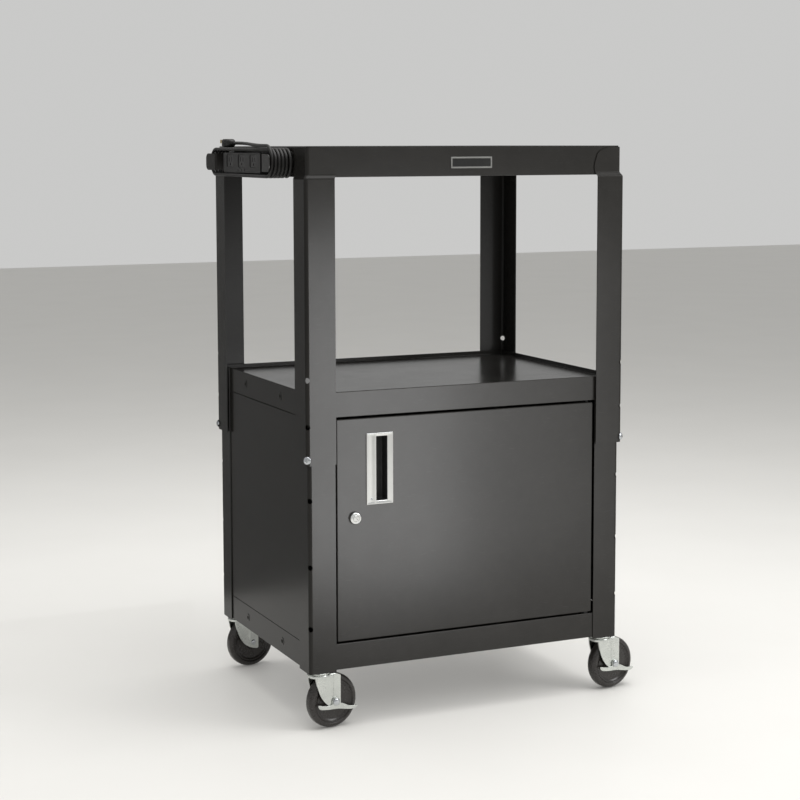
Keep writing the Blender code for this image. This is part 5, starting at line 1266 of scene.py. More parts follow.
    def fork(self) -> Mesh:
        """Return the pressed fork with its round crown, ribs, and holes for kingpin and axle."""
        rear = self.trail + self.nose
        low = self.wheel_radius - self.nose_drop - PAST
        outer = [self.plan(self.half, low, rear)]
        inner = [self.plan(self.half - self.sheet, low - PAST, rear + PAST)]
        for inset, sink in quarter(self.bend, 6):
            outer.append(self.plan(self.half - inset, self.crown_top - sink, rear))
        for inset, sink in quarter(self.bend - self.sheet, 6):
            inner.append(self.plan(self.half - self.sheet - inset, self.crown_under - sink, rear + PAST))
        body = combined(loft(outer), [prism(self.side(), -self.across, self.across, TIP_FORWARD)], Cut.WITHIN)
        wide, top, foot = self.dish_radius, self.crown_top, self.crown_top - self.dish_skirt
        profile = [(self.pin_hole, self.crown_under), (wide - self.sheet, self.crown_under),
                   (wide - self.sheet, foot + 0.0006), (wide - self.sheet / 2, foot), (wide - 0.0004, foot + 0.0003),
                   (wide, foot + 0.0012)]
        profile += [(wide - inset, top - sink) for inset, sink in quarter(self.bend, 6)]
        profile.append((self.pin_hole, top))
        body = combined(body, [self.rib(-1), self.rib(1), turned(profile, steps=64, closed=True)], Cut.WITH)
        tools = [loft(inner), rod(self.pin_radius + GAP, -self.across, self.across, self.axle_place),
                 rod(self.pin_hole, self.crown_under - PAST, top + PAST),
                 box((wide + 0.0004, self.sheet - self.half, 0.09), (rear + PAST, self.half - self.sheet, 0.11))]
        return softened(combined(body, tools), self.fork_edge, angle=40)

    def wheel(self) -> Mesh:
        """Return the wheel: flat tread, round shoulders, a lip, dished faces and a hub."""
        side = []
        for step in range(11):
            angle = step * pi / 20
            side.append((self.tread_radius - self.shoulder[0] * (1 - cos(angle)),
                         self.tread_half + self.shoulder[1] * sin(angle)))
        side += self.wheel_face + ((self.pin_radius + GAP, self.wheel_face[-1][1]),)
        profile = side + [(radius, -height) for radius, height in reversed(side)]
        return turned(profile, self.axle_place, 96, closed=True)

    def axle(self, stack: float, radius: float, rise: float) -> Mesh:
        """Return the riveted axle with its two domed heads.

        Args:
            stack: The thickness of what is stacked on the fork's outer side.
            radius: The radius of its heads.
            rise: How far they stand up.

        Returns:
            The axle's mesh.
        """
        near, far = self.half + stack + GAP, self.half + GAP
        head = dome(radius, rise * 0.25, rise * 0.75, 9)
        profile = [(wide, -far - high) for wide, high in reversed(head)]
        profile += [(radius, -far), (self.pin_radius, -far), (self.pin_radius, near), (radius, near)]
        return turned(profile + [(wide, near + high) for wide, high in head], self.axle_place, 40)

    def lever(self) -> Mesh:
        """Return the pressed brake lever with its eye on the axle."""
        length = self.lever_length
        outline = [(x * length, y * length) for x, y in self.lever_top]
        for degrees in range(200, -1, -20):
            outline.append((self.lever_eye * cos(radians(degrees)), self.lever_eye * sin(radians(degrees))))
        outline += [(x * length, y * length) for x, y in self.lever_tip + self.lever_under]
        near = self.half + GAP
        blank = prism(flowing(outline), near, near + self.lever_sheet, self.axle_place)
        hole = rod(self.pin_radius + GAP, near - 0.001, near + 0.004, self.axle_place)
        return softened(combined(blank, [hole]), self.lever_edge, segments=3, angle=40)

    def stem(self) -> Mesh:
        """Return the kingpin, bearing cup, collar, threaded stem and nut, which stay with the frame."""
        profile = list(self.kingpin)
        profile += [(self.cup_radius - inset, self.cup_top - sink) for inset, sink in quarter(self.cup_round, 4)]
        profile += self.collar
        profile += thread(self.thread_root, self.stem_radius, self.thread_start, 11)
        profile += [(self.stem_radius, self.stem_top - self.stem_chamfer),
                    (self.stem_radius - self.stem_chamfer, self.stem_top), (0, self.stem_top)]
        nut = prism(hexagon(self.nut_radius), *self.nut_levels)
        return joined((turned(profile, steps=64), softened(nut, self.nut_edge)))

    def build(self, shop: Workshop) -> None:
        """Make the four casters.

        Args:
            shop: The workshop that adds the pieces.
        """
        fork, wheel, stem, lever = self.fork(), self.wheel(), self.stem(), self.lever()
        braked = self.axle(self.lever_sheet + GAP, self.head_radius, self.head_rise)
        plain = self.axle(0, self.plain_head_radius, self.plain_head_rise)
        for corner in Corner:
            place, label = self.place(corner), corner.label
            front = corner.value[1] < 0
            swivel = "swivel_" + label
            shop.add("stem_and_cup_" + label, moved(stem, place), Finishes.ZINC, Body.LOWER.value,
                     ["caster_stem_" + label])
            shop.add("swivel_fork_" + label, moved(fork, place), Finishes.ZINC, swivel, ["caster_fork_" + label])
            shop.add("axle_rivet_" + label, moved(braked if front else plain, place), Finishes.RIVET, swivel,
                     ["caster_axle_" + label])
            shop.add("rolling_wheel_" + label, moved(wheel, place), Finishes.RUBBER, "wheel_" + label,
                     ["caster_wheel_" + label], angle=50)
            if front:
                shop.add("foot_lever_" + label, moved(lever, place), Finishes.ZINC, "brake_" + label,
                         ["brake_lever_" + label])


# Door
@dataclass
class Door:
    """The pressed door pan."""

    half: float = 0.2540
    low: float = 0.1559
    high: float = 0.5469
    depth: float = 0.0180
    sheet: float = 0.0012
    inner_return: float = 0.0100
    edge: float = 0.0016
    corner: float = 0.0020
    least_corner: float = 0.0006
    hinge: Pair = (0.2460, -0.2186)
    hinge_radius: float = 0.0028
    hinge_depth: float = 0.0030
    lock_radius: float = 0.0083
    cup: tuple[float, float, float, float] = (-0.1969, 0.3989, -0.1575, 0.5153)

    def pan(self) -> Mesh:
        """Return the pan with round edges and its cut-outs."""
        half_height = (self.high - self.low) / 2
        centre = (0, (self.high + self.low) / 2)
        levels = [(self.sheet, -self.sheet), (self.sheet, self.sheet - self.depth),
                  (self.inner_return, self.sheet - self.depth), (self.inner_return, -self.depth),
                  (self.edge / 2, -self.depth), (0, -self.depth + self.edge / 2)]
        levels += [(inset, -sink) for inset, sink in quarter(self.edge, 6)]
        rings = stacked(levels, (self.half, half_height), self.corner, centre, least=self.least_corner)
        left, bottom, right, top = self.cup
        hinge = Matrix.Translation((*self.hinge, 0))
        tools = [box((left, bottom, -self.depth / 2), (right, top, PAST), FRONT),
                 rod(self.lock_radius, -self.depth / 2, PAST, FRONT @ Matrix.Translation((*LOCK_CENTRE, 0))),
                 rod(self.hinge_radius, self.low - PAST, self.low + self.hinge_depth, hinge),
                 rod(self.hinge_radius, self.high - self.hinge_depth, self.high + PAST, hinge)]
        return combined(loft(rings, FRONT), tools)

    def build(self, shop: Workshop) -> None:
        """Make the door pan in the workshop."""
        shop.add("door_pan", self.pan(), Finishes.POWDER, Body.DOOR.value, ["door_panel"], angle=40)


@dataclass
class Pull:
    """The recessed pull: a bezel with a grooved wide band, a small screw and a dark cup."""

    left: float = -0.1986
    bottom: float = 0.3943
    width: float = 0.0506
    height: float = 0.1256
    proud: float = 0.0026
    rim: float = 0.0012
    band: float = 0.0182
    opening_width: float = 0.0214
    opening_height: float = 0.1134
    opening_round: float = 0.0008
    corner: float = 0.0012
    least_corner: float = 0.0005
    face_sink: float = 0.0005
    face_steps: tuple[Pair, ...] = ((0.0019, 0.0), (0.0025, 0.0002), (0.0031, 0.0005))
    opening_steps: tuple[Pair, ...] = ((0.0009, 0.0), (0.0005, 0.0001), (0.0001, 0.0005), (0.0, 0.0009))
    groove: Pair = (0.0040, 0.0150)
    groove_end: float = 0.0040
    groove_depth: float = 0.0011
    ridge_half: float = 0.0016
    ridge_rise: float = 0.0007
    ridge_end: float = 0.0026
    cup_depth: float = 0.0220
    cup_wall: float = 0.0008
    cup_margin: float = 0.0012
    cup_reach: float = 0.0162
    screw: Pair = (0.0098, 0.0095)
    screw_radius: float = 0.0023

    @property
    def place(self) -> Matrix:
        """Return the frame on the bezel's lower left corner, pointing out of the door."""
        return FRONT @ Matrix.Translation((self.left, self.bottom, 0))

    def ring(self, inset: float, height: float, opening: bool = False) -> Ring:
        """Return one ring of the bezel.

        Args:
            inset: How far it lies inside the edge, or outside the opening's edge.
            height: Its level.
            opening: Whether it follows the opening.

        Returns:
            The ring's points.
        """
        if opening:
            middle = (self.band + self.opening_width / 2, self.height / 2)
            half = (self.opening_width / 2 + inset, self.opening_height / 2 + inset)
            return rectangle(*half, self.opening_round + inset, height, middle, steps=3)
        middle = (self.width / 2, self.height / 2)
        corner = max(self.corner - inset / 2, self.least_corner)
        return rectangle(middle[0] - inset, middle[1] - inset, corner, height, middle, steps=3)

    def bezel(self) -> Mesh:
        """Return the bezel with its raised rim, its groove and the ridge beside the opening."""
        base = self.proud - self.face_sink
        rings = [self.ring(0, GAP), self.ring(0, self.proud - self.rim)]
        rings += [self.ring(inset, self.proud - sink) for inset, sink in quarter(self.rim, 5)[1:]]
        rings += [self.ring(inset, self.proud - sink) for inset, sink in self.face_steps]
        rings += [self.ring(inset, base - sink, True) for inset, sink in self.opening_steps]
        rings.append(self.ring(0, GAP, True))
        frame_ring = loft(rings, self.place, closed=True)
        start, end = self.groove
        wide = end - start
        hollow = [(start, base + 0.0002)]
        for step in range(1, 13):
            share = step / 13
            hollow.append((start + wide * share, base - self.groove_depth * sin(pi * share ** 1.35)))
        hollow += [(end, base + 0.0002), (end, base + PAST), (start, base + PAST)]
        groove = prism(hollow, self.groove_end, self.height - self.groove_end, self.place @ SWAP_LAST)
        ridge_middle = (self.groove[1] + self.band) / 2
        ridge = [(ridge_middle + self.ridge_half * cos(step * pi / 12),
                  base - 0.0002 + self.ridge_rise * sin(step * pi / 12)) for step in range(13)]
        ridge += [(ridge_middle - self.ridge_half, base - 0.0008), (ridge_middle + self.ridge_half, base - 0.0008)]
        bar = prism(ridge, self.ridge_end, self.height - self.ridge_end, self.place @ SWAP_LAST)
        return combined(combined(frame_ring, [groove]), [bar], Cut.WITH)

    def cup(self) -> Mesh:
        """Return the cup, which reaches behind the wide band."""
        left = self.band - self.cup_reach
        right = self.band + self.opening_width + self.cup_margin
        middle = ((left + right) / 2, self.height / 2)
        half_x = (right - left) / 2
        half_y = self.opening_height / 2 + self.cup_margin
        wall, floor = self.cup_wall, self.cup_wall - self.cup_depth
        rings = []
        for inset, height in ((wall + 0.0022, floor), (wall + 0.0007, floor + 0.0007), (wall, floor + 0.0022),
                              (wall, 0), (0, 0), (0, 0.0025 - self.cup_depth), (0.0008, 0.0008 - self.cup_depth),
                              (0.0025, -self.cup_depth)):
            rings.append(rectangle(half_x - inset, half_y - inset, 0.0022, height, middle, steps=4))
        return loft(rings, self.place)

    def fixing(self) -> Mesh:
        """Return the small domed screw low on the wide band."""
        base = self.proud - 0.0016
        place = self.place @ Matrix.Translation((*self.screw, 0))
        foot = [(0, base - 0.0004), (self.screw_radius, base - 0.0004)]
        head = turned(foot + dome(self.screw_radius, base, 0.0009, 6), place, 24)
        slot = box((-0.0003, -0.0018, base + 0.0004), (0.0003, 0.0018, base + PAST),
                   place @ Matrix.Rotation(radians(35), 4, "Z"))
        return combined(head, [slot])

    def build(self, shop: Workshop) -> None:
        """Make the pull's pieces in the workshop."""
        shop.add("pull_frame", self.bezel(), Finishes.CHROME, Body.DOOR.value, ["pull_bezel"], angle=30)
        shop.add("pull_recess", self.cup(), Finishes.CUP, Body.DOOR.value, ["pull_cup"], angle=40)
        shop.add("pull_screw", self.fixing(), Finishes.RIVET, Body.DOOR.value)


@dataclass
class Lock:
    """The lock's barrel on the door and the keyed cylinder that turns in it."""

    face: float = 0.0110
    proud: float = 0.0075
    core: float = 0.0055
    body: float = 0.0080
    length: float = 0.0180
    cam_front: float = -0.0197
    neck: float = 0.0035
    slot_turn: float = 45.0

    @property
    def place(self) -> Matrix:
        """Return the frame on the lock's axis at the door's face, pointing out."""
        return FRONT @ Matrix.Translation((*LOCK_CENTRE, 0))

    def barrel(self) -> Mesh:
        """Return the barrel with its rounded collar."""
        bore = self.core + GAP
        profile = [(bore, -self.length), (self.body - 0.0005, -self.length), (self.body, 0.0005 - self.length),
                   (self.body, GAP), (self.face - 0.0004, GAP), (self.face, 0.0007), (self.face, 0.0030),
                   (self.face - 0.0003, 0.0036)]
        for step in range(1, 8):
            angle = step * pi / 16
            profile.append((self.face - 0.0003 - 0.0036 * (1 - cos(angle)), 0.0036 + 0.0038 * sin(angle)))
        profile += [(bore + 0.0012, self.proud), (bore + 0.0003, self.proud - 0.0001), (bore, self.proud - 0.0004)]
        return turned(profile, self.place, 64, closed=True)

    def cylinder(self) -> Mesh:
        """Return the cylinder with its key slot, neck and end screw."""
        core, front = self.core, self.proud + GAP
        back = self.cam_front - 0.0023
        profile = [(0, front), (core * 0.7, front - 0.00005), (core - 0.0005, front - 0.0002), (core, front - 0.0007),
                   (core, self.cam_front + GAP), (self.neck, self.cam_front + GAP), (self.neck, back), (core, back),
                   (core, back - 0.0015), (core - 0.0005, back - 0.0020), (0, back - 0.0020)]
        place = self.place @ Matrix.Rotation(radians(self.slot_turn), 4, "Z")
        slot = box((-0.0007, -0.0035, front - 0.0040), (0.0007, 0.0035, front + 0.001), place)
        return combined(turned(profile, self.place, 48), [slot])

    def build(self, shop: Workshop) -> None:
        """Make the lock's pieces in the workshop."""
        shop.add("lock_collar", self.barrel(), Finishes.CHROME, Body.DOOR.value, ["lock_barrel"], angle=30)
        shop.add("keyed_cylinder", self.cylinder(), Finishes.CHROME, Body.LOCK.value, ["lock_cylinder"])


@dataclass
class Nameplate:
    """The blank plate: a dark face in a raised frame."""

    centre: Pair = (0.0045, 0.9860)
    half: Pair = (0.0401, 0.0100)
    corner: float = 0.0009
    thickness: float = 0.0010
    frame_width: float = 0.0028

    def rings(self, levels: Iterable[Pair]) -> list[Ring]:
        """Return the plate's rings at some insets and heights."""
        return stacked(levels, self.half, self.corner, self.centre, 3, least=0.0003)

    def build(self, shop: Workshop) -> None:
        """Make the plate's frame and its face.

        Args:
            shop: The workshop that adds the pieces.
        """
        top = GAP + self.thickness
        edge, wide = 0.0003, self.frame_width
        border = ((0, GAP), (0, top - edge), (edge * 0.3, top - edge * 0.3), (edge, top), (wide - edge, top),
                  (wide - edge * 0.3, top - edge * 0.3), (wide, top - edge), (wide, GAP))
        inlay = ((wide + 0.0001, GAP), (wide + 0.0001, top - 0.0006), (wide + 0.0003, top - 0.0004))
        frame_ring = loft(self.rings(border), FRONT, closed=True)
        face = loft(self.rings(inlay), FRONT)
        shop.add("nameplate_frame", frame_ring, Finishes.PLATE, Body.UPPER.value, ["nameplate"], angle=50)
        shop.add("nameplate_face", face, Finishes.PLATE_FACE, Body.UPPER.value)


# Power unit
@dataclass(frozen=True)
class Contacts:
    """Where the two blades and the earth pin of a plug or receptacle lie."""

    half_gap: float
    blade: Pair
    rise: float
    earth: float
    drop: float

    def slots(self, low: float, high: float, place: Matrix = IDENTITY) -> list[Mesh]:
        """Return what cuts their slots and hole, from one depth to another."""
        blades = [box((sign * self.half_gap - self.blade[0], self.rise - self.blade[1], low),
                      (sign * self.half_gap + self.blade[0], self.rise + self.blade[1], high), place)
                  for sign in (-1, 1)]
        return blades + [rod(self.earth, low, high, place @ Matrix.Translation((0, -self.drop, 0)))]


@dataclass
class PowerUnit:
    """The winding bracket, housing, faceplate, receptacles, strain relief and plug."""

    sheet: float = 0.0015
    bracket_low: float = 0.9712
    bracket_height: float = 0.0306
    neck: float = 0.1250
    ear: float = 0.1690
    ear_inner: float = 0.0415
    flare: float = 0.0026
    ear_corner: float = 0.0105
    bend: float = 0.0030
    half: float = 0.0980
    low: float = 0.9677
    height: float = 0.0358
    face: float = 0.0360
    back: float = 0.0021
    wall: float = 0.0016
    corner: float = 0.0030
    face_sheet: float = 0.0020
    pitch: float = 0.0620
    receptacle: Pair = (0.0340, 0.0220)
    receptacle_round: float = 0.0040
    lift: float = 0.0035
    slot_pitch: float = 0.0180
    slot_rise: float = 0.0050
    relief_reach: float = 0.0105
    rivet_along: float = 0.11075
    rivet_head: float = 0.0044
    rivet_hole: float = 0.0027
    relief_hole: float = 0.0040
    hole_depth: float = 0.0040
    bracket_edge: float = 0.0003
    plug_length: float = 0.0500
    plug_level: float = 1.0207
    plug_half: Pair = (0.00825, 0.0077)
    outlet_contacts: Contacts = Contacts(0.00635, (0.0011, 0.0039), 0.0025, 0.0023, 0.0060)
    plug_contacts: Contacts = Contacts(0.0045, (0.00105, 0.0035), 0.0030, 0.0027, 0.0038)
    plug_round: float = 0.0040
    plug_taper: float = 0.0150

    def bracket(self) -> Mesh:
        """Return the bent bracket with round bends, round ear corners and the cord's notch."""
        middle = self.sheet / 2
        half = [(self.ear, self.ear_inner + self.flare + middle), (self.neck - middle, self.ear_inner + middle),
                (self.neck - middle, GAP + middle)]
        line = rounded(half + [(-along, depth) for along, depth in reversed(half)], self.bend, 6)
        plan = Matrix(((0, -1, 0, -HALF_WIDTH), (-1, 0, 0, 0), (0, 0, 1, 0), (0, 0, 0, 1)))
        high = self.bracket_low + self.bracket_height
        sheet = prism(strip(line, self.sheet), self.bracket_low, high, plan)
        centre = (0, self.bracket_low + self.bracket_height / 2)
        envelope = loft([rectangle(self.ear, self.bracket_height / 2, self.ear_corner, depth, centre)
                         for depth in (-0.01, 0.06)], LEFT)
        notch = box((self.neck - 0.004, self.bracket_low - PAST, EXIT_DEPTH - 0.0054),
                    (self.neck + PAST, EXIT_LEVEL + 0.0042, EXIT_DEPTH + 0.0042), LEFT)
        holes = [rod(self.rivet_hole, -PAST, self.hole_depth, self.rivet_place(sign)) for sign in (-1, 1)]
        cut = combined(combined(sheet, [envelope], Cut.WITHIN), [notch] + holes)
        return softened(cut, self.bracket_edge, angle=40)

    def rivet_place(self, sign: int) -> Matrix:
        """Return the frame of a bracket rivet at the shelf's side, pointing out."""
        return LEFT @ Matrix.Translation((sign * self.rivet_along, self.bracket_low + self.bracket_height / 2, 0))

    def rivet(self) -> Mesh:
        """Return one rivet along the third axis, from behind the shelf's skirt."""
        near = GAP * 2 + self.sheet
        profile = [(0, -0.0041), (0.0031, -0.0041), (0.0036, -0.0035), (0.0036, -0.0015), (0.0024, -0.0015),
                   (0.0024, near), (self.rivet_head, near)]
        return turned(profile + dome(self.rivet_head, near + 0.0004, 0.0022, 7), steps=32)

    def housing(self) -> Mesh:
        """Return the open housing with round corners and the hole for the strain relief."""
        centre = (0, self.low + self.height / 2)
        front = self.face - self.face_sheet - GAP
        levels = ((self.wall, self.back + self.wall), (self.wall, front), (0.0004, front), (0, front - 0.0004),
                  (0, self.back + 0.0008), (0.0002, self.back + 0.0002), (0.0008, self.back))
        rings = stacked(levels, (self.half, self.height / 2), self.corner, centre, 6)
        hole = rod(self.relief_hole, self.half - self.hole_depth, self.half + PAST, self.relief_place)
        return combined(loft(rings, LEFT), [hole])

    @property
    def relief_place(self) -> Matrix:
        """Return the frame of the cord's exit, with its third axis pointing to the front."""
        side = Matrix(((0, -1, 0, -HALF_WIDTH), (0, 0, -1, 0), (1, 0, 0, 0), (0, 0, 0, 1)))
        return side @ Matrix.Translation((EXIT_LEVEL, EXIT_DEPTH, 0))

    def relief(self) -> Mesh:
        """Return the tapered strain relief with its collar and flexing rings."""
        start, out = self.half - 0.0096, self.half + GAP
        profile = [(0, start), (0.0033, start), (0.0037, start + 0.0004), (0.0037, out), (0.0044, out),
                   (0.0047, out + 0.0004), (0.0047, out + 0.0019), (0.0044, out + 0.0024), (0.0037, out + 0.0024)]
        length = self.relief_reach - 0.0024 - GAP
        for step in range(4):
            along = out + 0.0024 + length * (step + 0.5) / 4.2
            wide = 0.0037 - 0.0002 * (step + 0.5) / 4
            profile += [(wide, along - 0.0006), (wide - 0.0005, along - 0.0003), (wide - 0.0005, along + 0.0003),
                        (wide, along + 0.0006)]
        end = self.half + self.relief_reach
        return turned(profile + [(0.0035, end - 0.0002), (0.0033, end), (0, end)], self.relief_place, 32)

    def receptacle_centre(self, index: int) -> Pair:
        """Return a receptacle's centre along the housing and up it."""
        return (index - 1) * self.pitch, self.low + self.height / 2 + self.lift

    def faceplate(self) -> Mesh:
        """Return the faceplate with its receptacle openings, three small slots and round edges."""
        centre = (0, self.low + self.height / 2)
        back = self.face - self.face_sheet
        levels = ((0.0003, back), (0, back + 0.0003), (0, self.face - 0.0010), (0.0003, self.face - 0.0003),
                  (0.0010, self.face))
        rings = stacked(levels, (self.half, self.height / 2), self.corner, centre, 6)
        low, high = back - 0.001, self.face + 0.001
        tools = []
        for index in range(3):
            wide, tall = self.receptacle
            tools.append(loft([rectangle(wide / 2 + GAP, tall / 2 + GAP, self.receptacle_round, depth,
                                         self.receptacle_centre(index), 6) for depth in (low, high)], LEFT))
            along, level = (index - 1) * self.slot_pitch, self.low + self.slot_rise
            tools.append(box((along - 0.0011, level - 0.0020, low), (along + 0.0011, level + 0.0020, high), LEFT))
        return softened(combined(loft(rings, LEFT), tools), 0.0002, angle=50)

    def receptacle_bar(self) -> Mesh:
        """Return the bar behind the faceplate that carries the receptacles."""
        level = self.receptacle_centre(1)[1]
        half_x = self.pitch + self.receptacle[0] / 2 + 0.001
        half_y = self.receptacle[1] / 2 + 0.001
        depth = self.face - self.face_sheet - GAP
        bar = box((-half_x, level - half_y, depth - 0.002), (half_x, level + half_y, depth), LEFT)
        return softened(bar, 0.0003)

    def receptacle_face(self) -> Mesh:
        """Return one receptacle along the third axis, with its blade and earth slots."""
        wide, tall = self.receptacle
        top = self.face - 0.0008
        levels = ((0, top - 0.0120), (0, top - 0.0006), (0.0002, top - 0.0002), (0.0006, top), (0.0016, top),
                  (0.0020, top - 0.0003))
        rings = stacked(levels, (wide / 2, tall / 2), self.receptacle_round, steps=6)
        tools = self.outlet_contacts.slots(top - 0.0068, top + 0.001)
        return softened(combined(loft(rings), tools), 0.00025, angle=50)

    def plug(self) -> Mesh:
        """Return the moulded plug: ringed relief, grip ribs and a faced end with its blade slots."""
        side = Matrix(((-1, 0, 0, -HALF_WIDTH), (0, 0, 1, 0), (0, 1, 0, 0), (0, 0, 0, 1)))
        place = side @ Matrix.Translation((PLUG_CENTRE, self.plug_level, 0))
        start, end = PLUG_START, PLUG_START + self.plug_length
        wide, tall = self.plug_half
        rings = []
        for step in range(9):
            share = step / 9
            for rise, inset in ((0.0, 0.0), (0.25, 0.0), (0.4, 0.0005), (0.85, 0.0005)):
                depth = start + self.plug_taper * (share + rise / 9)
                radius = 0.0036 + 0.0010 * (share + rise / 9) - inset
                rings.append(rectangle(radius, radius, radius * 0.98, depth))
        for depth, share in ((0.0155, 0.66), (0.0170, 0.82), (0.0190, 0.92), (0.0215, 0.98), (0.0235, 1.0)):
            rings.append(rectangle(wide * share, tall * share, 0.0045 * share, start + depth))
        for step in range(6):
            depth = start + 0.0250 + step * 0.0026
            for rise, inset in ((0.0, 0.0), (0.0004, 0.0006), (0.0011, 0.0006), (0.0015, 0.0)):
                rings.append(rectangle(wide - inset, tall - inset, self.plug_round, depth + rise))
        rings += stacked(((0.0, end - 0.0060), (0.0, end - 0.0016), (0.0002, end - 0.0008), (0.0008, end - 0.0003),
                          (0.0016, end)), (wide, tall), self.plug_round)
        return combined(loft(rings, place), self.plug_contacts.slots(end - 0.0063, end + PAST, place))

    def build(self, shop: Workshop) -> list[Object]:
        """Make the unit.

        Args:
            shop: The workshop that adds the pieces.

        Returns:
            The strain relief and the plug, at the cord's two ends.
        """
        upper = Body.UPPER.value
        shop.add("bent_bracket", self.bracket(), Finishes.POWDER, upper, ["winding_bracket"], angle=30)
        shop.add("bracket_rivets", shop.repeater.copies(self.rivet(), [self.rivet_place(sign) for sign in (-1, 1)],
                                                        shop.materials[Finishes.RIVET]), Finishes.RIVET, upper,
                 ["bracket_rivet_front", "bracket_rivet_back"])
        shop.add("outlet_housing", self.housing(), Finishes.PLASTIC, upper, ["power_housing"], angle=40)
        shop.add("outlet_faceplate", self.faceplate(), Finishes.PLASTIC, upper, ["power_faceplate"], angle=40)
        places = [LEFT @ Matrix.Translation((*self.receptacle_centre(index), 0)) for index in range(3)]
        faces = shop.repeater.copies(self.receptacle_face(), places, shop.materials[Finishes.OUTLET])
        shop.add("outlet_receptacles", joined((self.receptacle_bar(), faces)), Finishes.OUTLET, upper,
                 ["receptacle_block"], angle=40)
        return [shop.add("tapered_cord_relief", self.relief(), Finishes.JACKET, upper, ["strain_relief"], angle=50),
                shop.add("moulded_cord_plug", self.plug(), Finishes.JACKET, upper, ["power_plug"], angle=50)]


# Fasteners
@dataclass
class Fasteners:
    """The height bolts and the rivet nuts in the shelves' side holes."""

    head: float = 0.0069
    rise: float = 0.0040
    stub: float = 0.00375
    reach: float = 0.0062
    nut_bore: float = 0.0032
    nut_body: float = 0.0042
    nut_flange: float = 0.0076
    nut_depth: float = 0.0080
    hole_levels: Pair = (0.1295, 0.5739)

    def bolt(self) -> Mesh:
        """Return a domed bolt along the third axis, with a cross recess and a threaded stub."""
        profile = [(0, -self.reach), (self.stub - 0.0006, -self.reach)]
        profile += thread(self.stub, self.stub - 0.0004, THREAD_STEP - self.reach, 4)
        profile += [(self.stub, -0.0004), (self.stub, GAP), (self.head, GAP)]
        profile += dome(self.head, GAP + self.rise * 0.2, self.rise * 0.8, 10)
        body = turned(profile, steps=40)
        top = GAP + self.rise
        recess = [box((-0.0008, -0.0034, top - 0.0022), (0.0008, 0.0034, top + 0.001)),
                  box((-0.0034, -0.0008, top - 0.0022), (0.0034, 0.0008, top + 0.001))]
        return combined(body, recess)

    def rivet_nut(self) -> Mesh:
        """Return a blind rivet nut along the third axis, its low flange outside the hole."""
        bore, flange, depth = self.nut_bore, self.nut_flange, self.nut_depth
        profile = [(0, -depth), (self.nut_body, -depth), (self.nut_body, GAP / 2), (flange, GAP / 2)]
        profile += [(flange - 0.0002, 0.0004), (flange - 0.0010, 0.0006), (bore + 0.0010, 0.0006),
                    (bore + 0.0003, 0.0004), (bore, 0.0)]
        profile += thread(bore, bore - 0.0003, -THREAD_STEP, 5, -THREAD_STEP)
        return turned(profile + [(bore, 0.0006 - depth), (0, 0.0006 - depth)], steps=32)

    def build(self, shop: Workshop, legs: Legs) -> None:
        """Make the bolts and the rivet nuts.

        Args:
            shop: The workshop that adds the pieces.
            legs: The legs that the bolts go through.
        """
        stand = legs.upper_offset + legs.upper_sheet
        places = [legs.diagonal(corner, stand, legs.bolt_level) for corner in Corner]
        bolts = shop.repeater.copies(self.bolt(), places, shop.materials[Finishes.RIVET], spread=0.7, seed=4)
        shop.add("height_bolts", bolts, Finishes.RIVET, Body.UPPER.value,
                 ["height_bolt_" + corner.label for corner in Corner])
        places = []
        for sign_x in (-1, 1):
            for sign_y in (-1, 1):
                for level in self.hole_levels:
                    places.append(Matrix.Translation((sign_x * HALF_WIDTH, sign_y * SIDE_HOLE_HALF, level))
                                  @ Matrix.Rotation(sign_x * pi / 2, 4, "Y"))
        nuts = shop.repeater.copies(self.rivet_nut(), places, shop.materials[Finishes.POWDER])
        shop.add("side_rivet_nuts", nuts, Finishes.POWDER, Body.LOWER.value, angle=40)


# Studio
@dataclass(frozen=True)
class Lamp:
    """One soft area lamp: where it hangs, the point that it faces, its size and its power in watts."""

    name: str
    place: Triple
    aim: Triple
    size: Pair
    power: float

    def hang(self, alone: Iterable[Object] = ()) -> None:
        """Add the lamp to the scene.

        Args:
            alone: The only objects that it lights and that shade it; none means all of them.
        """
        data = bpy.data.lights.new(self.name, "AREA")
        data.shape = "RECTANGLE"
        data.size, data.size_y = self.size
        data.energy = self.power
        lamp = linked(data, self.name)
        lamp.location = self.place
        lamp.visible_camera = False
        lamp.rotation_mode = "QUATERNION"
        lamp.rotation_quaternion = (Vector(self.aim) - Vector(self.place)).to_track_quat("-Z", "Y")
        lit = list(alone)
        if lit:
            group = bpy.data.collections.new(self.name + "_alone")
            for obj in lit:
                group.objects.link(obj)
            lamp.light_linking.receiver_collection = group
            lamp.light_linking.blocker_collection = group


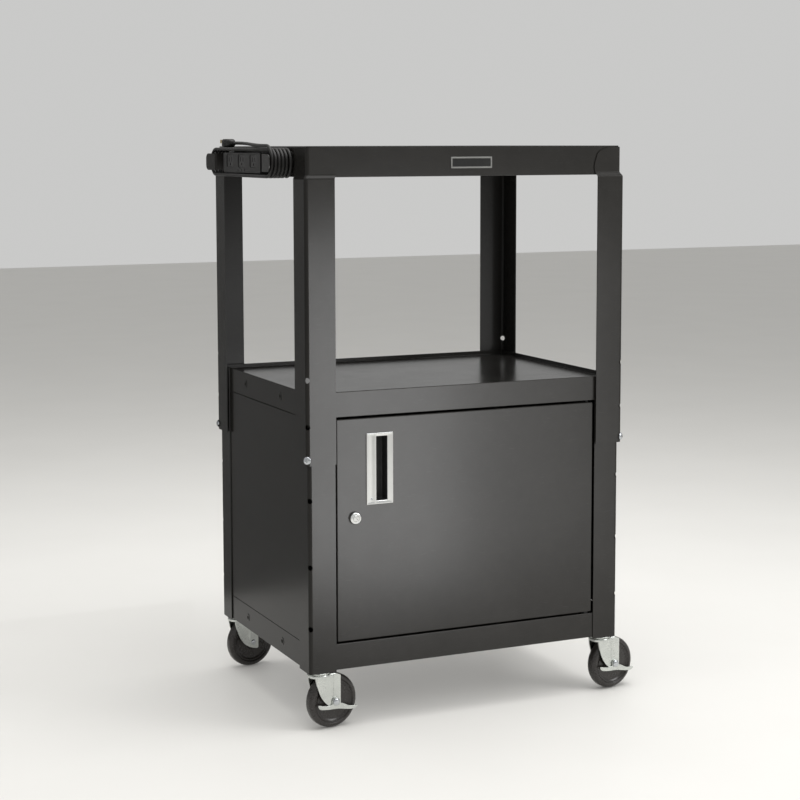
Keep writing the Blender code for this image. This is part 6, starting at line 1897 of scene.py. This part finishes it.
@dataclass
class Studio:
    """The pale floor, the soft light and the camera at the photo's angle."""

    camera_place: Triple = (-1.4386, -3.1116, 1.0195)
    yaw: float = 24.355
    pitch: float = 6.004
    roll: float = 0.134
    lens: float = 82.41
    sensor: float = 36
    shift: float = -0.08
    clip: Pair = (0.05, 60)
    floor_size: float = 12.0
    floor_dark: Triple = (0.62, 0.61, 0.585)
    floor_light: Triple = (0.66, 0.65, 0.625)
    floor_rough: float = 0.45
    floor_gloss: float = 0.10
    card_low: Triple = (-1.7, 0.75, 0.0)
    card_high: Triple = (-0.2, 0.75, 1.3)
    card_tone: Triple = (0.30, 0.30, 0.30)
    card_rough: float = 0.9
    sky: Triple = (0.84, 0.84, 0.83)
    sky_strength: float = 0.70
    floor_lamp: Lamp = Lamp("floor_light", (-0.3, 0.2, 2.4), (-0.3, 0.2, 0), (3.0, 3.0), 36)
    room_lamps: tuple[Lamp, ...] = (Lamp("ceiling_light", (0.3, -0.4, 3.2), (0, 0, 0.5), (2.6, 2.6), 72),
                                    Lamp("right_light", (2.6, -2.4, 2.2), (0, 0, 0.4), (1.6, 1.6), 40))
    sheet_lamps: tuple[Lamp, ...] = (Lamp("sheet_light", (0.48, -1.83, 0.29), (0.48, 0, 0.29), (0.56, 0.96), 23),
                                     Lamp("sheet_fill_light", (1.0, -1.83, 0.29), (1.0, 0, 0.29), (0.48, 0.96), 5.8))
    back_lamp: Lamp = Lamp("back_sheet_light", (0.75, -1.83, 0.29), (0.75, 0, 0.29), (1.20, 0.96), 9.8)

    def camera(self) -> None:
        """Make the camera."""
        yaw, pitch, roll = (radians(angle) for angle in (self.yaw, self.pitch, self.roll))
        ahead = Vector((sin(yaw) * cos(pitch), cos(yaw) * cos(pitch), -sin(pitch)))
        side = Vector((cos(yaw), -sin(yaw), 0))
        down = ahead.cross(side)
        right = side * cos(roll) + down * sin(roll)
        below = down * cos(roll) - side * sin(roll)
        data = bpy.data.cameras.new("camera")
        data.lens = self.lens
        data.sensor_width = self.sensor
        data.shift_y = self.shift
        data.clip_start, data.clip_end = self.clip
        camera = linked(data, "camera")
        turn = Matrix((right, -below, -ahead)).transposed()
        camera.matrix_world = Matrix.LocRotScale(Vector(self.camera_place), turn, Vector((1, 1, 1)))
        bpy.context.scene.camera = camera

    def floor(self) -> None:
        """Make the pale floor and the lamp that softens the shadows on it."""
        bm = bmesh.new()
        bmesh.ops.create_grid(bm, x_segments=1, y_segments=1, size=self.floor_size)
        mesh = bpy.data.meshes.new("pale_floor")
        bm.to_mesh(mesh)
        bm.free()
        material, graph, shader = new_material("pale_floor")
        place = graph.node("ShaderNodeTexCoord").outputs["Object"]
        tone = graph.mix(graph.noise(place, 3.0, 6.0), (*self.floor_dark, 1), (*self.floor_light, 1))
        graph.feed(shader, {"Base Color": tone, "Roughness": self.floor_rough, "Specular IOR Level": self.floor_gloss})
        mesh.materials.append(material)
        floor = linked(mesh, "pale_floor")
        self.floor_lamp.hang([floor])

    def card(self) -> None:
        """Set up the grey card that only reflections see, which keeps the left side dark."""
        (left, depth, low), (right, _, high) = self.card_low, self.card_high
        mesh = bpy.data.meshes.new("grey_card")
        mesh.from_pydata([(left, depth, low), (right, depth, low), (right, depth, high), (left, depth, high)], [],
                         [(0, 1, 2, 3)])
        material, graph, shader = new_material("grey_card")
        graph.feed(shader, {"Base Color": (*self.card_tone, 1), "Roughness": self.card_rough})
        mesh.materials.append(material)
        card = linked(mesh, "grey_card")
        card.visible_camera = card.visible_diffuse = card.visible_shadow = False

    def build(self) -> None:
        """Make the floor, the room's lamps, the world and the camera."""
        self.floor()
        self.card()
        for lamp in self.room_lamps:
            lamp.hang()
        world = bpy.data.worlds.new("studio")
        world.use_nodes = True
        sky = world.node_tree.nodes["Background"].inputs
        sky["Color"].default_value = (*self.sky, 1)
        sky["Strength"].default_value = self.sky_strength
        bpy.context.scene.world = world
        bpy.context.scene.view_settings.view_transform = "Standard"
        self.camera()

    def light_sheets(self, pieces: Sequence[Object]) -> None:
        """Add the low lamps that show in the coated sheet metal alone.

        Args:
            pieces: The coated pieces.
        """
        back = [piece for piece in pieces if "angle_back" in piece.name]
        for lamp in self.sheet_lamps:
            lamp.hang(piece for piece in pieces if piece not in back)
        self.back_lamp.hang(back)


def main() -> None:
    """Build the whole dressed cart."""
    logging.basicConfig(level=logging.INFO, format="%(message)s")
    studio = Studio()
    studio.build()
    shop = Workshop()
    WoundCord().build(shop, PowerUnit().build(shop))
    for shelf in (Shelf("bottom_shelf", Body.LOWER, bottom=0.1068, skirt=0.0458, inner_return=0.0080),
                  Shelf("middle_shelf", Body.LOWER, bottom=0.5512, skirt=0.0440, inner_return=0.0180),
                  Shelf("top_shelf", Body.UPPER, bottom=0.9625, skirt=0.0523, inner_return=0.0120,
                        side_holes=False)):
        shelf.build(shop)
    legs = Legs()
    legs.build(shop)
    for assembly in (Caster(), Door(), Pull(), Lock(), Nameplate()):
        assembly.build(shop)
    Fasteners().build(shop, legs)
    for name in ("left_panel", "right_panel", "back_panel"):
        sheet = softened(node_mesh(name), PANEL_EDGE)
        shop.add(name + "_sheet", sheet, Finishes.POWDER, Body.LOWER.value, [name])
    shop.dress(Finishes.POWDER, ["door_stiffener"])
    shop.dress(Finishes.DULL_ZINC, ["top_hinge_pin", "bottom_hinge_pivot"])
    shop.dress(Finishes.ZINC, ["latch_strike", "lock_nut", "lock_cam"])
    shop.dress(Finishes.BRASS, ["plug_blade_inner", "plug_blade_outer", "plug_earth_pin"])
    studio.light_sheets(shop.coated)


if __name__ == "__main__":
    main()
